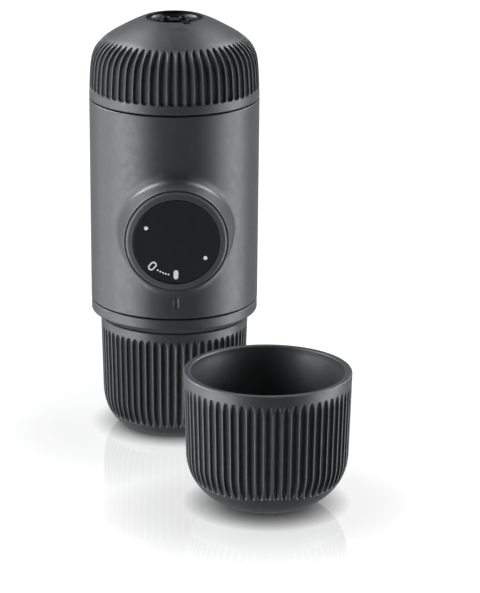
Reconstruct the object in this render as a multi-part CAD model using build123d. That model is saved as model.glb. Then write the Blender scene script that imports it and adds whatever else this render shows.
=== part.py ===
from build123d import *
from dataclasses import dataclass
import math
import os

# Handheld manual espresso maker with its loose cup. All sizes are in millimetres.
# Frame: the origin is the centre of the water tank's flat base, +Z is up, and the
# pump's dial faces -Y. Along the pump's own axis, sizes are counted forwards (towards
# -Y) from the machine's axis.

# --- clearances
SEAM = 0.3             # between bodies that part from each other
FIT = 0.1              # between pieces of one body
RUN_FIT = 0.05         # radial, of a sliding or turning fit
LOOSE = 0.4            # radial, of parts that pass each other freely

# --- ribbed surfaces
RIB_COUNT = 60
RIB_CREST = 0.85       # width of a rib's top
FLUTE_DEPTH = 1.0
FLUTE_FADE = 1.7       # height in which a flute runs out
RIB_INSET = 0.15       # of the rib tops under the plain bands beside them

# --- water tank
TANK_RADIUS = 27.14
TANK_HEIGHT = 42.0
TANK_DRAFT = 0.029     # radius lost per millimetre going down
TANK_CORNER = (10.1, 14.4)
TANK_WALL = 2.0
TANK_BAND = 3.6        # plain band over the ribs
TANK_RIB_START = 5.2
TANK_RIB_BEND = 9.4    # height at which the ribs follow the corner in between
TANK_SHOULDER = 2.44   # step in from the tank's side to its neck
TANK_NECK_HEIGHT = 8.6
TANK_NECK_WALL = 1.9

# --- cup
CUP_PLAY = 0.16        # radial, over the tank that it slips onto
CUP_HEIGHT = 48.2
CUP_DRAFT = 0.032
CUP_CORNER = (20.1, 18.7)
CUP_WALL = 1.9
CUP_BAND = 3.9
CUP_RIB_START = 6.0
CUP_RIB_BEND = 11.2
CUP_LIP = 0.6          # bevel on both edges of the rim
CUP_CENTRE = (30.6, -86.9)

# --- main body
COLLAR_HEIGHT = 6.2
COLLAR_LIP = 2.0
COLLAR_OVERHANG = 0.06  # of the collar's foot over the tank's side
COLLAR_FLARE = 3.4     # radius that the collar gains from its foot to its top
COLLAR_SLOPE = 0.35    # of the flare at its foot
SHADOW_LINE = 0.4      # between collar and shell
SHELL_HEIGHT = 75.2
SHELL_TAPER = 0.4      # radius that the shell gains from its foot to its head
SHELL_WALL = 2.1
INDEX_SLOT = (2.1, 4.5, 0.5)
INDEX_RISE = 6.1       # of the slot's centre over the shell's foot
SOCKET_WALL = 1.7
FLOOR_THICKNESS = 3.0
SEAL_THICKNESS = 1.4
O_RING_WIRE = 0.7      # half the width of the ring's square section

# --- pump and dial, along the pump's axis
PUMP_RISE = 31.7       # of the pump's axis over the shell's foot
STROKE = 16.0
DIAL_TURN = 45.0       # degrees from locked to unlocked
BOSS_RISE = 4.8        # of the boss's face over the shell's foot
BOSS_WALL = 2.0
BOSS_LIP = 1.0
BOSS_EDGE = 0.5        # bevel on the boss's outer edge
KNOB_RADIUS = 18.1
KNOB_STAND = 4.6       # of the knob's face in front of the boss
KNOB_RIM = 2.5         # width of the ring round the dial
KNOB_CHAMFER = 2.6
KNOB_WALL = 2.2
DIAL_DEPTH = 1.6
SKIRT_STEP = 0.9
SKIRT_WALL = 1.5
SKIRT_LENGTH = 24.6
LUG_HEIGHT = 1.7
LUG_LENGTH = 3.0
LUG_ANGLE = 20.0
WINDOW_PLAY = 3.0      # degrees of free turn past each end of the dial's travel
SLEEVE_WALL = 1.6
HOUSING_BACK = 1.5
HOUSING_WALL = 2.5
CYLINDER_BORE = 7.0
CYLINDER_WALL = 1.8
CYLINDER_SPARE = 1.0   # of the bore in front of the piston at full stroke
FLANGE_WIDTH = 4.2
FLANGE_THICKNESS = 2.5
FLANGE_SCREW_SHANK = 0.9
FLANGE_SCREW_HEAD = 1.6
STEM_RADIUS = 4.0
SPRING_PLATE_SETBACK = 12.3
SPRING_PLATE_LIP = 0.7
SPRING_PLATE_THICKNESS = 2.0
HUB_WALL = 3.0
PISTON_LENGTH = 6.0
PISTON_GAP = 0.9       # between the piston and the valve block at rest
PISTON_RELIEF = 0.2    # radial, of the plastic piston inside the bore
SEAL_GROOVE = (1.2, 2.2)
SPRING_WIRE = 1.3
SPRING_TURNS = 5
KNOB_SCREW_DEPTH = 1.1  # from the dial's seat down to the stem's end
KNOB_SCREW_OVERLAP = 0.8  # radial, of the screw's head over the stem
PEDESTAL = (18.0, 18.0)
PEDESTAL_CENTRE = 15.0

# --- valve block behind the pump
BLOCK_SIZE = (24.0, 12.0)
BLOCK_ROUND = 2.0
COLUMN_INSET = 10.5    # of the valve column from the body's bore
DUCT_RADIUS = 1.6
SIDE_DUCT_RADIUS = 1.3
CROSS_DUCT = 1.2       # side of the square duct to the relief valve
INLET_POCKET = 1.0     # depth of the recess that the cylinder opens into
BALL_RADIUS = 2.2
CAGE_GAP = 1.0         # radial, round a valve's ball
SEAT_BORE = 1.4
SEAT_LENGTH = 4.0
VALVE_SPRING_LENGTH = 5.0
VALVE_SPRING_WIRE = 0.4
VALVE_SPRING_TURNS = 3
INLET_SEAT_DEPTH = 2.0
OUTLET_SEAT_DEPTH = 16.3
RELIEF_SEAT_DEPTH = 11.3
RELIEF_OFFSET = (7.0, -2.0)
RETURN_OFFSET = (7.0, 2.6)
RETURN_RADIUS = 0.8
POPPET_TIP = 0.4
STRAINER_RIM = 1.0
STRAINER_HEIGHT = 1.6
STRAINER_SLOT = 0.6
STRAINER_PITCH = 1.4
AIR_VALVE_PLACE = (-12.0, -8.0)
AIR_CAP = (3.4, 1.4)   # radius and height
AIR_CAP_TIP = 1.2
AIR_CAP_EDGE = 0.4
AIR_BARB = 0.6
AIR_BARB_RISE = 2.0

# --- brewing head of the main body
BULKHEAD_THICKNESS = 5.0
BULKHEAD_DROP = 6.1    # of its top face under the shell's top edge
BREW_NECK_WALL = 2.2
BREW_NECK_RISE = 7.4
SCREEN_RISE = 6.4
SCREEN_THICKNESS = 0.8
SCREEN_HOLE = 0.8
SCREEN_RING_RADII = (6.8, 14.8)
RING_HOLE_COUNTS = (6, 12)  # of the rings of holes in the screen and in the basket
LEDGE_WIDTH = 2.1
POST_RADIUS = 3.0
GASKET_THICKNESS = 1.8
SCREW_SHANK = 1.2
SCREW_HEAD = 2.3
SCREW_HEAD_HEIGHT = 1.5
SCREW_LENGTH = 6.0
SCREW_HOLE_SPARE = 1.0

# --- filter basket and outlet head
BASKET_WALL = 0.6
BASKET_HEIGHT = 15.9
BASKET_FLANGE = 1.6
BASKET_RING_RADII = (5.2, 13.4)
SEAM_RING_THICKNESS = 0.3
SEAM_RING_INSET = 0.3
SEAM_LINE = 0.65       # height of the dark line between shell and dome
DOME_OUTLINE = ((0.34, 20.05), (1.5, 12.85), (6.8, 7.0), (14.6, 2.5))  # in from the foot, down from the top
DOME_LIP = 0.9         # width of the rim round the spout
DOME_FOOT_SLOPE = -0.02
DOME_TOP_SLOPE = 0.35
DOME_WALL = 2.4
DOME_LIP_SHARE = 0.07  # of the outline that is left solid round the opening
DOME_BAND = 3.2        # plain band under the ribs
DOME_RIB_DROP = 7.35   # of the ribs' upper ends under the dome's top
DOME_RIB_BENDS = (19.25, 15.25, 12.55, 10.45)  # drops at which the ribs follow the outline
CORE_SKIRT = 2.8
CORE_WALL = 1.4
CORE_SHOULDER = 2.0
CORE_CONE_RISE = 1.8
CORE_LEDGE = 2.0       # width of the core's top outside the spout
SPOUT_RADIUS = 10.0
SPOUT_WALL = 1.8
SPOUT_FLOOR = 1.5
SPOUT_INSET = 0.6
SPOUT_DEPTH = 6.4      # of the core's top under the dome's
SPOUT_SEAL_RADIUS = 6.0
NOZZLE_RADIUS = 2.3
NOZZLE_BORE = 1.2
NOZZLE_SPACING = 5.6
NOZZLE_DROP = 1.6
TAB_RADIUS = 1.4
TAB_OVERHANG = 0.4     # of the tab's centre outside the spout's side
TAB_ANGLE = -67.4

# --- radii that follow from the sizes above
TANK_NECK_RADIUS = TANK_RADIUS - TANK_SHOULDER
CUP_RADIUS = TANK_RADIUS + CUP_PLAY + CUP_WALL
SOCKET_RADIUS = TANK_NECK_RADIUS + 2 * SEAM
COLLAR_FOOT_RADIUS = TANK_RADIUS + COLLAR_OVERHANG
SHELL_FOOT_RADIUS = COLLAR_FOOT_RADIUS + COLLAR_FLARE
SHELL_HEAD_RADIUS = SHELL_FOOT_RADIUS + SHELL_TAPER
BODY_BORE_RADIUS = SHELL_FOOT_RADIUS - SHELL_WALL
KNOB_FACE_RADIUS = KNOB_RADIUS - KNOB_RIM
KNOB_BORE_RADIUS = KNOB_RADIUS + LOOSE + FIT
BOSS_RADIUS = KNOB_BORE_RADIUS + BOSS_WALL
BOSS_BLEND = BOSS_RISE - SHELL_TAPER - BOSS_EDGE - 2 * FIT
SKIRT_RADIUS = KNOB_RADIUS - SKIRT_STEP
SLEEVE_BORE = SKIRT_RADIUS + LOOSE
SLEEVE_RADIUS = SLEEVE_BORE + SLEEVE_WALL
CYLINDER_RADIUS = CYLINDER_BORE + CYLINDER_WALL
FLANGE_RADIUS = CYLINDER_RADIUS + FLANGE_WIDTH
FLANGE_SCREW_PITCH = CYLINDER_RADIUS + FLANGE_WIDTH / 2
SPRING_RADIUS = CYLINDER_RADIUS + LOOSE + SPRING_WIRE
SPRING_PLATE_RADIUS = SPRING_RADIUS + SPRING_WIRE + SPRING_PLATE_LIP
HUB_RADIUS = STEM_RADIUS + HUB_WALL
KNOB_SCREW_HEAD = STEM_RADIUS + KNOB_SCREW_OVERLAP
CAGE_RADIUS = BALL_RADIUS + CAGE_GAP
CORE_RADIUS = BODY_BORE_RADIUS - LOOSE
CORE_BORE = CORE_RADIUS - CORE_SKIRT
BREW_NECK_RADIUS = CORE_BORE - LOOSE - FIT
BREW_BORE = BREW_NECK_RADIUS - BREW_NECK_WALL
BASKET_RADIUS = BREW_BORE - LOOSE - BASKET_FLANGE
CORE_NECK_BORE = BASKET_RADIUS + LOOSE + FIT
CORE_TOP_RADIUS = SPOUT_RADIUS + CORE_LEDGE
BALL_RISE = math.sqrt(BALL_RADIUS**2 - SEAT_BORE**2)

# --- heights that follow
COLLAR_BOTTOM = TANK_HEIGHT + SEAM
COLLAR_TOP = COLLAR_BOTTOM + COLLAR_HEIGHT
SHELL_BOTTOM = COLLAR_TOP + SHADOW_LINE
SHELL_TOP = SHELL_BOTTOM + SHELL_HEIGHT
NECK_TOP = TANK_HEIGHT + TANK_NECK_HEIGHT
SEAL_BOTTOM = NECK_TOP + SEAM
FLOOR_BOTTOM = SEAL_BOTTOM + SEAL_THICKNESS + SEAM
FLOOR_TOP = FLOOR_BOTTOM + FLOOR_THICKNESS
BULKHEAD_TOP = SHELL_TOP - BULKHEAD_DROP
BULKHEAD_BOTTOM = BULKHEAD_TOP - BULKHEAD_THICKNESS
BREW_NECK_TOP = SHELL_TOP + BREW_NECK_RISE
SCREEN_BOTTOM = BULKHEAD_TOP + SCREEN_RISE + FIT
SCREEN_TOP = SCREEN_BOTTOM + SCREEN_THICKNESS
GASKET_TOP = SCREEN_TOP + FIT + GASKET_THICKNESS
BASKET_BOTTOM = GASKET_TOP + SEAM
BASKET_TOP = BASKET_BOTTOM + BASKET_HEIGHT
CORE_CEILING = BASKET_TOP + LOOSE
CORE_TOP = CORE_CEILING + CORE_CONE_RISE + CORE_SHOULDER
DOME_BOTTOM = SHELL_TOP + SEAM_LINE
DOME_TOP = CORE_TOP + SPOUT_DEPTH
BLOCK_BOTTOM = FLOOR_TOP + FIT
BLOCK_TOP = BULKHEAD_BOTTOM - FIT
BASE_HEAD_FLOOR = FLOOR_BOTTOM + SCREW_HEAD_HEIGHT + FIT
BREW_HEAD_FLOOR = BULKHEAD_TOP - SCREW_HEAD_HEIGHT - FIT
INLET_SEAT_TOP = BLOCK_BOTTOM + INLET_SEAT_DEPTH + SEAT_LENGTH
OUTLET_SEAT_TOP = BLOCK_TOP - OUTLET_SEAT_DEPTH
RELIEF_SEAT_TOP = BLOCK_TOP - RELIEF_SEAT_DEPTH
PUMP_HEIGHT = SHELL_BOTTOM + PUMP_RISE

# --- distances along the pump's axis that follow
BOSS_FRONT = SHELL_FOOT_RADIUS + BOSS_RISE
HOUSING_FRONT = BOSS_FRONT - BOSS_LIP - FIT
HOUSING_FACE = HOUSING_BACK + HOUSING_WALL
KNOB_BACK = HOUSING_FRONT + SEAM
KNOB_FACE = BOSS_FRONT + KNOB_STAND
KNOB_SEAT = KNOB_FACE - DIAL_DEPTH
SKIRT_BACK = KNOB_BACK - SKIRT_LENGTH
STEM_FRONT = KNOB_SEAT - KNOB_SCREW_DEPTH
KNOB_POCKET = STEM_FRONT + RUN_FIT
SPRING_PLATE_BACK = STEM_FRONT - SPRING_PLATE_SETBACK
COLUMN_Y = BODY_BORE_RADIUS - COLUMN_INSET
CYLINDER_BACK = FIT + BLOCK_SIZE[1] / 2 - COLUMN_Y
PISTON_BACK = CYLINDER_BACK + PISTON_GAP
CYLINDER_FRONT = PISTON_BACK + PISTON_LENGTH + STROKE + CYLINDER_SPARE

# --- places that follow, as (x, y)
RELIEF_PLACE = (RELIEF_OFFSET[0], COLUMN_Y + RELIEF_OFFSET[1])
RETURN_PLACE = (RETURN_OFFSET[0], COLUMN_Y + RETURN_OFFSET[1])
SCREW_PLACES = ((6.0, -PEDESTAL_CENTRE), (-6.0, -PEDESTAL_CENTRE), (-8.5, COLUMN_Y))
TAB_PLACE = tuple(Vector(SPOUT_RADIUS + TAB_OVERHANG, 0).rotate(Axis.Z, TAB_ANGLE))[:2]

PUMP_AXIS = Location((0, 0, PUMP_HEIGHT), (90, 0, 0))
STAND = (Align.CENTER, Align.CENTER, Align.MIN)
BISECTIONS = 40
FASTENER_SIDES = 8
SPRING_SIDES = 12      # straight lengths in one turn of a spring
CORNER_STEPS = 6       # straight lengths in a pot's rounded corner
FLARE_STEPS = 5
DOME_STEPS = 12


def rod(radius, low, high, place=(0, 0)):
    """Round bar standing on the XY plane's normal between two heights."""
    return Pos(*place, low) * Cylinder(radius, high - low, align=STAND)


def bar(radius, low, high, place=(0, 0)):
    """Eight-sided bar, as wide as a round one, for small fasteners and their holes."""
    return Pos(*place, low) * extrude(RegularPolygon(radius, FASTENER_SIDES, major_radius=False), high - low)


def ring(inner, outer, low, high, place=(0, 0)):
    """Tube between two heights."""
    return rod(outer, low, high, place) - rod(inner, low, high, place)


def turned(*outline):
    """Solid of revolution about Z from a closed outline of (radius, height) points."""
    return revolve(Plane.XZ * make_face(Polyline(*outline, close=True)), Axis.Z)


def o_ring(radius, height):
    """Seal ring of square section, by its mean radius and the height of its middle."""
    return ring(radius - O_RING_WIRE, radius + O_RING_WIRE, height - O_RING_WIRE, height + O_RING_WIRE)


def coil_spring(mean_radius, wire, low, high, turns):
    """Square-wire compression spring between two heights, its turns made of short straight lengths."""
    steps = turns * SPRING_SIDES
    rise = high - low - wire
    points = [
        Vector(mean_radius, 0, low + wire / 2 + rise * n / steps).rotate(Axis.Z, 360 * n / SPRING_SIDES)
        for n in range(steps + 1)
    ]
    path = Polyline(*points)
    section = Plane(origin=points[0], x_dir=(1, 0, 0), z_dir=path % 0) * Rectangle(wire, wire)
    return sweep(section, path, is_frenet=False, transition=Transition.RIGHT)


def wall_at(outline, height):
    """Radius of a rising outline at a height, and the radial share of its normal."""
    low, high = 0.0, 1.0
    for _ in range(BISECTIONS):
        middle = (low + high) / 2
        if (outline @ middle).Z < height:
            low = middle
        else:
            high = middle
    slope = outline % low
    return (outline @ low).X, abs(slope.Z) / slope.length


def ribbed_outline(crest_radius, depth, height):
    """Corners of the flat-topped ribs and of the flutes between them, in order round Z."""
    pitch = 2 * math.pi / RIB_COUNT
    half_crest = RIB_CREST / 2 / crest_radius
    corners = ((crest_radius, -half_crest), (crest_radius, half_crest), (crest_radius - depth, pitch / 2))
    return [
        (r * math.cos(a + n * pitch), r * math.sin(a + n * pitch), height)
        for n in range(RIB_COUNT) for r, a in corners
    ]


def flat_face(*corners):
    """Flat face between three or four corners."""
    return Face(Wire.make_polygon(corners))


def ribbed_band(outline, low, high, between):
    """Ribbed solid of flat faces that follows an outline, with flutes that run out at both ends."""
    rows = []
    for height in (low, low + FLUTE_FADE, *between, high - FLUTE_FADE, high):
        radius, share = wall_at(outline, height)
        depth = 0 if height in (low, high) else FLUTE_DEPTH / share
        rows.append(ribbed_outline(radius - RIB_INSET, depth, height))
    faces = [Face(Wire.make_polygon(rows[0])), Face(Wire.make_polygon(rows[-1]))]
    count = len(rows[0])
    for lower, upper in zip(rows, rows[1:]):
        for n in range(count):
            a, b, c, d = lower[n], lower[(n + 1) % count], upper[(n + 1) % count], upper[n]
            on_crest = n % 3 == 0
            faces += [flat_face(a, b, c, d)] if on_crest else [flat_face(a, b, c), flat_face(a, c, d)]
    return Solid(Shell(faces))


def with_ribs(solid, outline, low, high, between):
    """The solid with the stretch between two heights changed for a ribbed one."""
    reach = 2 * solid.bounding_box().max.X
    return solid - rod(reach, low, high) + ribbed_band(outline, low, high, between)


@dataclass(frozen=True)
class Pot:
    """Drafted round pot with a quarter-ellipse corner round its flat base."""

    radius: float
    top: float
    draft: float
    corner: tuple
    base: float = 0.0

    @property
    def outline(self):
        """The wall from the edge of the flat base up to the rim, its corner in short straight lengths."""
        across, up = self.corner
        bend_height = self.base + up
        bend_radius = self.radius - self.draft * (self.top - bend_height)
        corner = EllipticalCenterArc((bend_radius - across, bend_height), across, up, 270, arc_size=90)
        points = [corner @ (n / CORNER_STEPS) for n in range(CORNER_STEPS + 1)]
        return Plane.XZ * Polyline(*points, (self.radius, self.top))

    @property
    def solid(self):
        """The filled pot."""
        outline = self.outline
        closing = Polyline(outline @ 1, (0, 0, self.top), (0, 0, self.base), outline @ 0)
        return revolve(make_face([*outline.edges(), *closing.edges()]), Axis.Z)

    def inset(self, wall):
        """The pot that is one wall smaller all round and open at the top."""
        return Pot(
            self.radius - wall, self.top, self.draft,
            (self.corner[0] - wall, self.corner[1] - wall), self.base + wall,
        )


def water_tank():
    """Ribbed tank with a plain band and the neck that screws into the body."""
    pot = Pot(TANK_RADIUS, TANK_HEIGHT, TANK_DRAFT, TANK_CORNER)
    rib_top = TANK_HEIGHT - TANK_BAND
    tank = with_ribs(pot.solid, pot.outline, TANK_RIB_START, rib_top, (TANK_RIB_BEND, TANK_CORNER[1]))
    tank += rod(TANK_NECK_RADIUS, TANK_HEIGHT - TANK_WALL, NECK_TOP)
    inside = pot.inset(TANK_WALL).solid & rod(TANK_RADIUS, 0, TANK_HEIGHT - TANK_WALL)
    mouth = rod(TANK_NECK_RADIUS - TANK_NECK_WALL, TANK_HEIGHT - 2 * TANK_WALL, NECK_TOP)
    return tank - inside - mouth


def cup():
    """Ribbed cup, a little wider than the tank so that it slips over it."""
    pot = Pot(CUP_RADIUS, CUP_HEIGHT, CUP_DRAFT, CUP_CORNER)
    rib_top = CUP_HEIGHT - CUP_BAND
    outside = with_ribs(pot.solid, pot.outline, CUP_RIB_START, rib_top, (CUP_RIB_BEND, CUP_CORNER[1]))
    shell = outside - pot.inset(CUP_WALL).solid
    rim = shell.edges().filter_by(GeomType.CIRCLE).filter_by_position(Axis.Z, CUP_HEIGHT, CUP_HEIGHT)
    return Pos(*CUP_CENTRE, 0) * chamfer(rim, CUP_LIP)


def tank_seal():
    """Flat ring between the tank's neck and the body's floor."""
    bore = TANK_NECK_RADIUS - TANK_NECK_WALL
    return ring(bore, TANK_NECK_RADIUS, SEAL_BOTTOM, SEAL_BOTTOM + SEAL_THICKNESS)


def screw_holes(head_floor, way):
    """Cutters for the three chassis screws, with their heads sunk towards way."""
    cutters = Part()
    for place in SCREW_PLACES:
        low, high = sorted((head_floor, head_floor - way * (SCREW_LENGTH + SCREW_HOLE_SPARE)))
        cutters += bar(SCREW_SHANK + FIT, low, high, place)
        low, high = sorted((head_floor, head_floor + way * (SCREW_HEAD_HEIGHT + FLOOR_THICKNESS)))
        cutters += bar(SCREW_HEAD + FIT, low, high, place)
    return cutters


def screws(head_floor, way):
    """The three chassis screws, as separate solids, with heads towards way."""
    group = []
    for place in SCREW_PLACES:
        low, high = sorted((head_floor, head_floor - way * SCREW_LENGTH))
        shank = bar(SCREW_SHANK, low, high, place)
        low, high = sorted((head_floor, head_floor + way * SCREW_HEAD_HEIGHT))
        group.append(shank + bar(SCREW_HEAD, low, high, place))
    return Compound(group)


def o_ring_groove(height):
    """Cutter for an edge groove that holds an O-ring against the body's bore."""
    half = O_RING_WIRE + FIT
    return ring(BODY_BORE_RADIUS - 2 * half, BODY_BORE_RADIUS, height - half, height + half)


def chassis_base():
    """Lower bulkhead of the body, with the socket that the tank screws into."""
    outer = SOCKET_RADIUS + SOCKET_WALL
    edge = BODY_BORE_RADIUS - FIT
    base = turned(
        (SOCKET_RADIUS, COLLAR_BOTTOM + COLLAR_LIP + FIT), (outer, COLLAR_BOTTOM + COLLAR_LIP + FIT),
        (outer, COLLAR_TOP + FIT), (edge, COLLAR_TOP + FIT), (edge, FLOOR_TOP), (0, FLOOR_TOP),
        (0, FLOOR_BOTTOM), (SOCKET_RADIUS, FLOOR_BOTTOM),
    )
    base -= o_ring_groove((FLOOR_BOTTOM + FLOOR_TOP) / 2)
    base -= rod(DUCT_RADIUS, FLOOR_BOTTOM, FLOOR_TOP, (0, COLUMN_Y))
    base -= bar(RETURN_RADIUS, FLOOR_BOTTOM, FLOOR_TOP, RETURN_PLACE)
    base -= rod(RETURN_RADIUS + FIT, FLOOR_BOTTOM, FLOOR_TOP, AIR_VALVE_PLACE)
    return base - screw_holes(BASE_HEAD_FLOOR, -1)


def body_collar():
    """Ring that necks the body down to the tank."""
    inner = SOCKET_RADIUS + SOCKET_WALL + FIT
    flare = Spline(
        (COLLAR_FOOT_RADIUS, COLLAR_BOTTOM), (SHELL_FOOT_RADIUS, COLLAR_TOP),
        tangents=((COLLAR_SLOPE, 1), (0, 1)),
    )
    points = [flare @ (n / FLARE_STEPS) for n in range(FLARE_STEPS + 1)]
    return turned(
        *points, (inner, COLLAR_TOP), (inner, COLLAR_BOTTOM + COLLAR_LIP),
        (SOCKET_RADIUS, COLLAR_BOTTOM + COLLAR_LIP), (SOCKET_RADIUS, COLLAR_BOTTOM),
    )


def body_shell():
    """Outer tube of the body, with the round boss that carries the pump's knob."""
    tube = turned(
        (0, SHELL_BOTTOM), (SHELL_FOOT_RADIUS, SHELL_BOTTOM), (SHELL_HEAD_RADIUS, SHELL_TOP), (0, SHELL_TOP),
    )
    tube += PUMP_AXIS * rod(BOSS_RADIUS, 0, BOSS_FRONT)
    root = [
        e for e in tube.edges()
        if e.geom_type not in (GeomType.CIRCLE, GeomType.LINE) and e.center().Y < 0
    ]
    tube = fillet(root, BOSS_BLEND)
    rim = tube.edges().filter_by(GeomType.CIRCLE).sort_by(Axis.Y)[0]
    tube = chamfer(rim, BOSS_EDGE)
    tube -= rod(BODY_BORE_RADIUS, SHELL_BOTTOM, SHELL_TOP)
    tube -= PUMP_AXIS * rod(SLEEVE_RADIUS + FIT, 0, BOSS_FRONT - BOSS_LIP)
    tube -= PUMP_AXIS * rod(KNOB_BORE_RADIUS, 0, BOSS_FRONT)
    return tube - index_slot()


def index_slot():
    """Cutter for the shallow upright mark that the dial is read against."""
    width, height, depth = INDEX_SLOT
    pill = Plane.XZ * SlotOverall(height, width, rotation=90)
    return Pos(0, depth - SHELL_FOOT_RADIUS, SHELL_BOTTOM + INDEX_RISE) * extrude(pill, SHELL_FOOT_RADIUS)


def pump_housing():
    """Sleeve that guides the knob, its back wall and the two pedestals that hold it."""
    wide, deep = PEDESTAL
    lower = Pos(0, -PEDESTAL_CENTRE, BLOCK_BOTTOM) * Box(wide, deep, PUMP_HEIGHT - BLOCK_BOTTOM, align=STAND)
    upper = Pos(0, -PEDESTAL_CENTRE, PUMP_HEIGHT) * Box(wide, deep, BLOCK_TOP - PUMP_HEIGHT, align=STAND)
    housing = PUMP_AXIS * rod(SLEEVE_RADIUS, HOUSING_BACK, HOUSING_FRONT) + lower + upper
    housing -= PUMP_AXIS * rod(SLEEVE_BORE, HOUSING_FACE, HOUSING_FRONT)
    housing -= PUMP_AXIS * rod(CYLINDER_RADIUS + FIT, HOUSING_BACK, HOUSING_FACE)
    housing -= PUMP_AXIS * flange_screw_holes()
    for turn in (0, 180):
        housing -= PUMP_AXIS * Rot(0, 0, turn) * lug_window()
    return housing - screw_holes(BASE_HEAD_FLOOR, -1) - screw_holes(BREW_HEAD_FLOOR, 1)


def sector(inner, outer, low, high, start, sweep_angle):
    """Part of a tube between two heights, over an angle from a start angle."""
    outline = Polyline((inner, low), (outer, low), (outer, high), (inner, high), close=True)
    return Rot(0, 0, start) * revolve(Plane.XZ * make_face(outline), Axis.Z, revolution_arc=sweep_angle)


def lug_window():
    """Cutter for the window in the sleeve that one of the knob's lugs works in."""
    start = -LUG_ANGLE / 2 - WINDOW_PLAY
    sweep_angle = DIAL_TURN + LUG_ANGLE + 2 * WINDOW_PLAY
    front = SKIRT_BACK + LUG_LENGTH + STROKE + LOOSE
    return sector(SLEEVE_BORE - LOOSE, SLEEVE_RADIUS + FIT, SKIRT_BACK - LOOSE, front, start, sweep_angle)


def around_pump(make):
    """Three copies of a piece on the pump flange's screw circle."""
    return [Rot(0, 0, 90 + 120 * n) * make() for n in range(3)]


def flange_screw_holes():
    """Cutters for the flange screws through the housing's back wall and the flange."""
    low, high = HOUSING_BACK - FLANGE_THICKNESS - FIT, HOUSING_FACE
    return Part() + around_pump(lambda: bar(FLANGE_SCREW_SHANK + RUN_FIT, low, high, (FLANGE_SCREW_PITCH, 0)))


def cylinder_screws():
    """The three screws that hold the pump cylinder to the housing."""
    seat = HOUSING_BACK - FIT - FLANGE_THICKNESS

    def screw():
        head = bar(FLANGE_SCREW_HEAD, seat - FIT - SCREW_HEAD_HEIGHT, seat - FIT, (FLANGE_SCREW_PITCH, 0))
        return head + bar(FLANGE_SCREW_SHANK, seat - FIT, HOUSING_FACE - FIT, (FLANGE_SCREW_PITCH, 0))

    return PUMP_AXIS * Compound(around_pump(screw))


def pump_cylinder():
    """Tube that the piston works in, with the flange that it is held by."""
    tube = rod(CYLINDER_RADIUS, CYLINDER_BACK, CYLINDER_FRONT)
    tube += rod(FLANGE_RADIUS, HOUSING_BACK - FIT - FLANGE_THICKNESS, HOUSING_BACK - FIT)
    tube -= rod(CYLINDER_BORE, CYLINDER_BACK, CYLINDER_FRONT)
    return PUMP_AXIS * (tube - flange_screw_holes())


def plunger():
    """Stem with the piston at its back end and the spring's plate near the knob."""
    depth, width = SEAL_GROOVE
    middle = PISTON_BACK + PISTON_LENGTH / 2
    radius = CYLINDER_BORE - PISTON_RELIEF
    stem = rod(STEM_RADIUS, PISTON_BACK, STEM_FRONT)
    stem += rod(radius, PISTON_BACK, PISTON_BACK + PISTON_LENGTH)
    stem -= ring(radius - depth, radius, middle - width / 2, middle + width / 2)
    stem += rod(SPRING_PLATE_RADIUS, SPRING_PLATE_BACK, SPRING_PLATE_BACK + SPRING_PLATE_THICKNESS)
    return PUMP_AXIS * (stem - rod(SCREW_SHANK + RUN_FIT, SPRING_PLATE_BACK, STEM_FRONT))


def piston_seal():
    """Ring in the piston's groove that runs in the cylinder."""
    depth, width = SEAL_GROOVE
    middle = PISTON_BACK + PISTON_LENGTH / 2
    inner = CYLINDER_BORE - PISTON_RELIEF - depth + FIT
    half = width / 2 - FIT
    return PUMP_AXIS * ring(inner, CYLINDER_BORE - RUN_FIT, middle - half, middle + half)


def return_spring():
    """Spring that pushes the knob out when it is unlocked."""
    low, high = HOUSING_FACE + FIT, SPRING_PLATE_BACK - SEAM
    return PUMP_AXIS * coil_spring(SPRING_RADIUS, SPRING_WIRE, low, high, SPRING_TURNS)


def knob():
    """Turning knob: chamfered ring, guided skirt, hub and two bayonet lugs."""
    front_wall = KNOB_SEAT - KNOB_WALL
    hub_back = SPRING_PLATE_BACK + SPRING_PLATE_THICKNESS + SEAM
    bore = STEM_RADIUS + RUN_FIT
    pocket = KNOB_SCREW_HEAD + LOOSE
    body = turned(
        (SKIRT_RADIUS - SKIRT_WALL, SKIRT_BACK), (SKIRT_RADIUS, SKIRT_BACK), (SKIRT_RADIUS, KNOB_BACK),
        (KNOB_RADIUS, KNOB_BACK), (KNOB_RADIUS, KNOB_FACE - KNOB_CHAMFER), (KNOB_FACE_RADIUS, KNOB_FACE),
        (KNOB_FACE_RADIUS - FIT, KNOB_FACE), (KNOB_FACE_RADIUS - FIT, KNOB_SEAT), (pocket, KNOB_SEAT),
        (pocket, KNOB_POCKET), (bore, KNOB_POCKET), (bore, hub_back), (HUB_RADIUS, hub_back),
        (HUB_RADIUS, front_wall), (SKIRT_RADIUS - SKIRT_WALL, front_wall),
    )
    for turn in (0, 180):
        body += Rot(0, 0, turn) * sector(
            SKIRT_RADIUS - SKIRT_WALL / 2, SKIRT_RADIUS + LUG_HEIGHT,
            SKIRT_BACK, SKIRT_BACK + LUG_LENGTH, -LUG_ANGLE / 2, LUG_ANGLE,
        )
    return PUMP_AXIS * body


def knob_screw():
    """Screw that holds the knob on the stem and lets it turn."""
    shank = rod(SCREW_SHANK, SPRING_PLATE_BACK + SPRING_PLATE_THICKNESS, KNOB_POCKET + RUN_FIT)
    head = rod(KNOB_SCREW_HEAD, KNOB_POCKET + RUN_FIT, KNOB_SEAT - 2 * FIT)
    return PUMP_AXIS * (shank + head)


def dial_face():
    """Dark disc set into the knob's front."""
    return PUMP_AXIS * rod(KNOB_FACE_RADIUS - 2 * FIT, KNOB_SEAT + RUN_FIT, KNOB_FACE)


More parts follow.
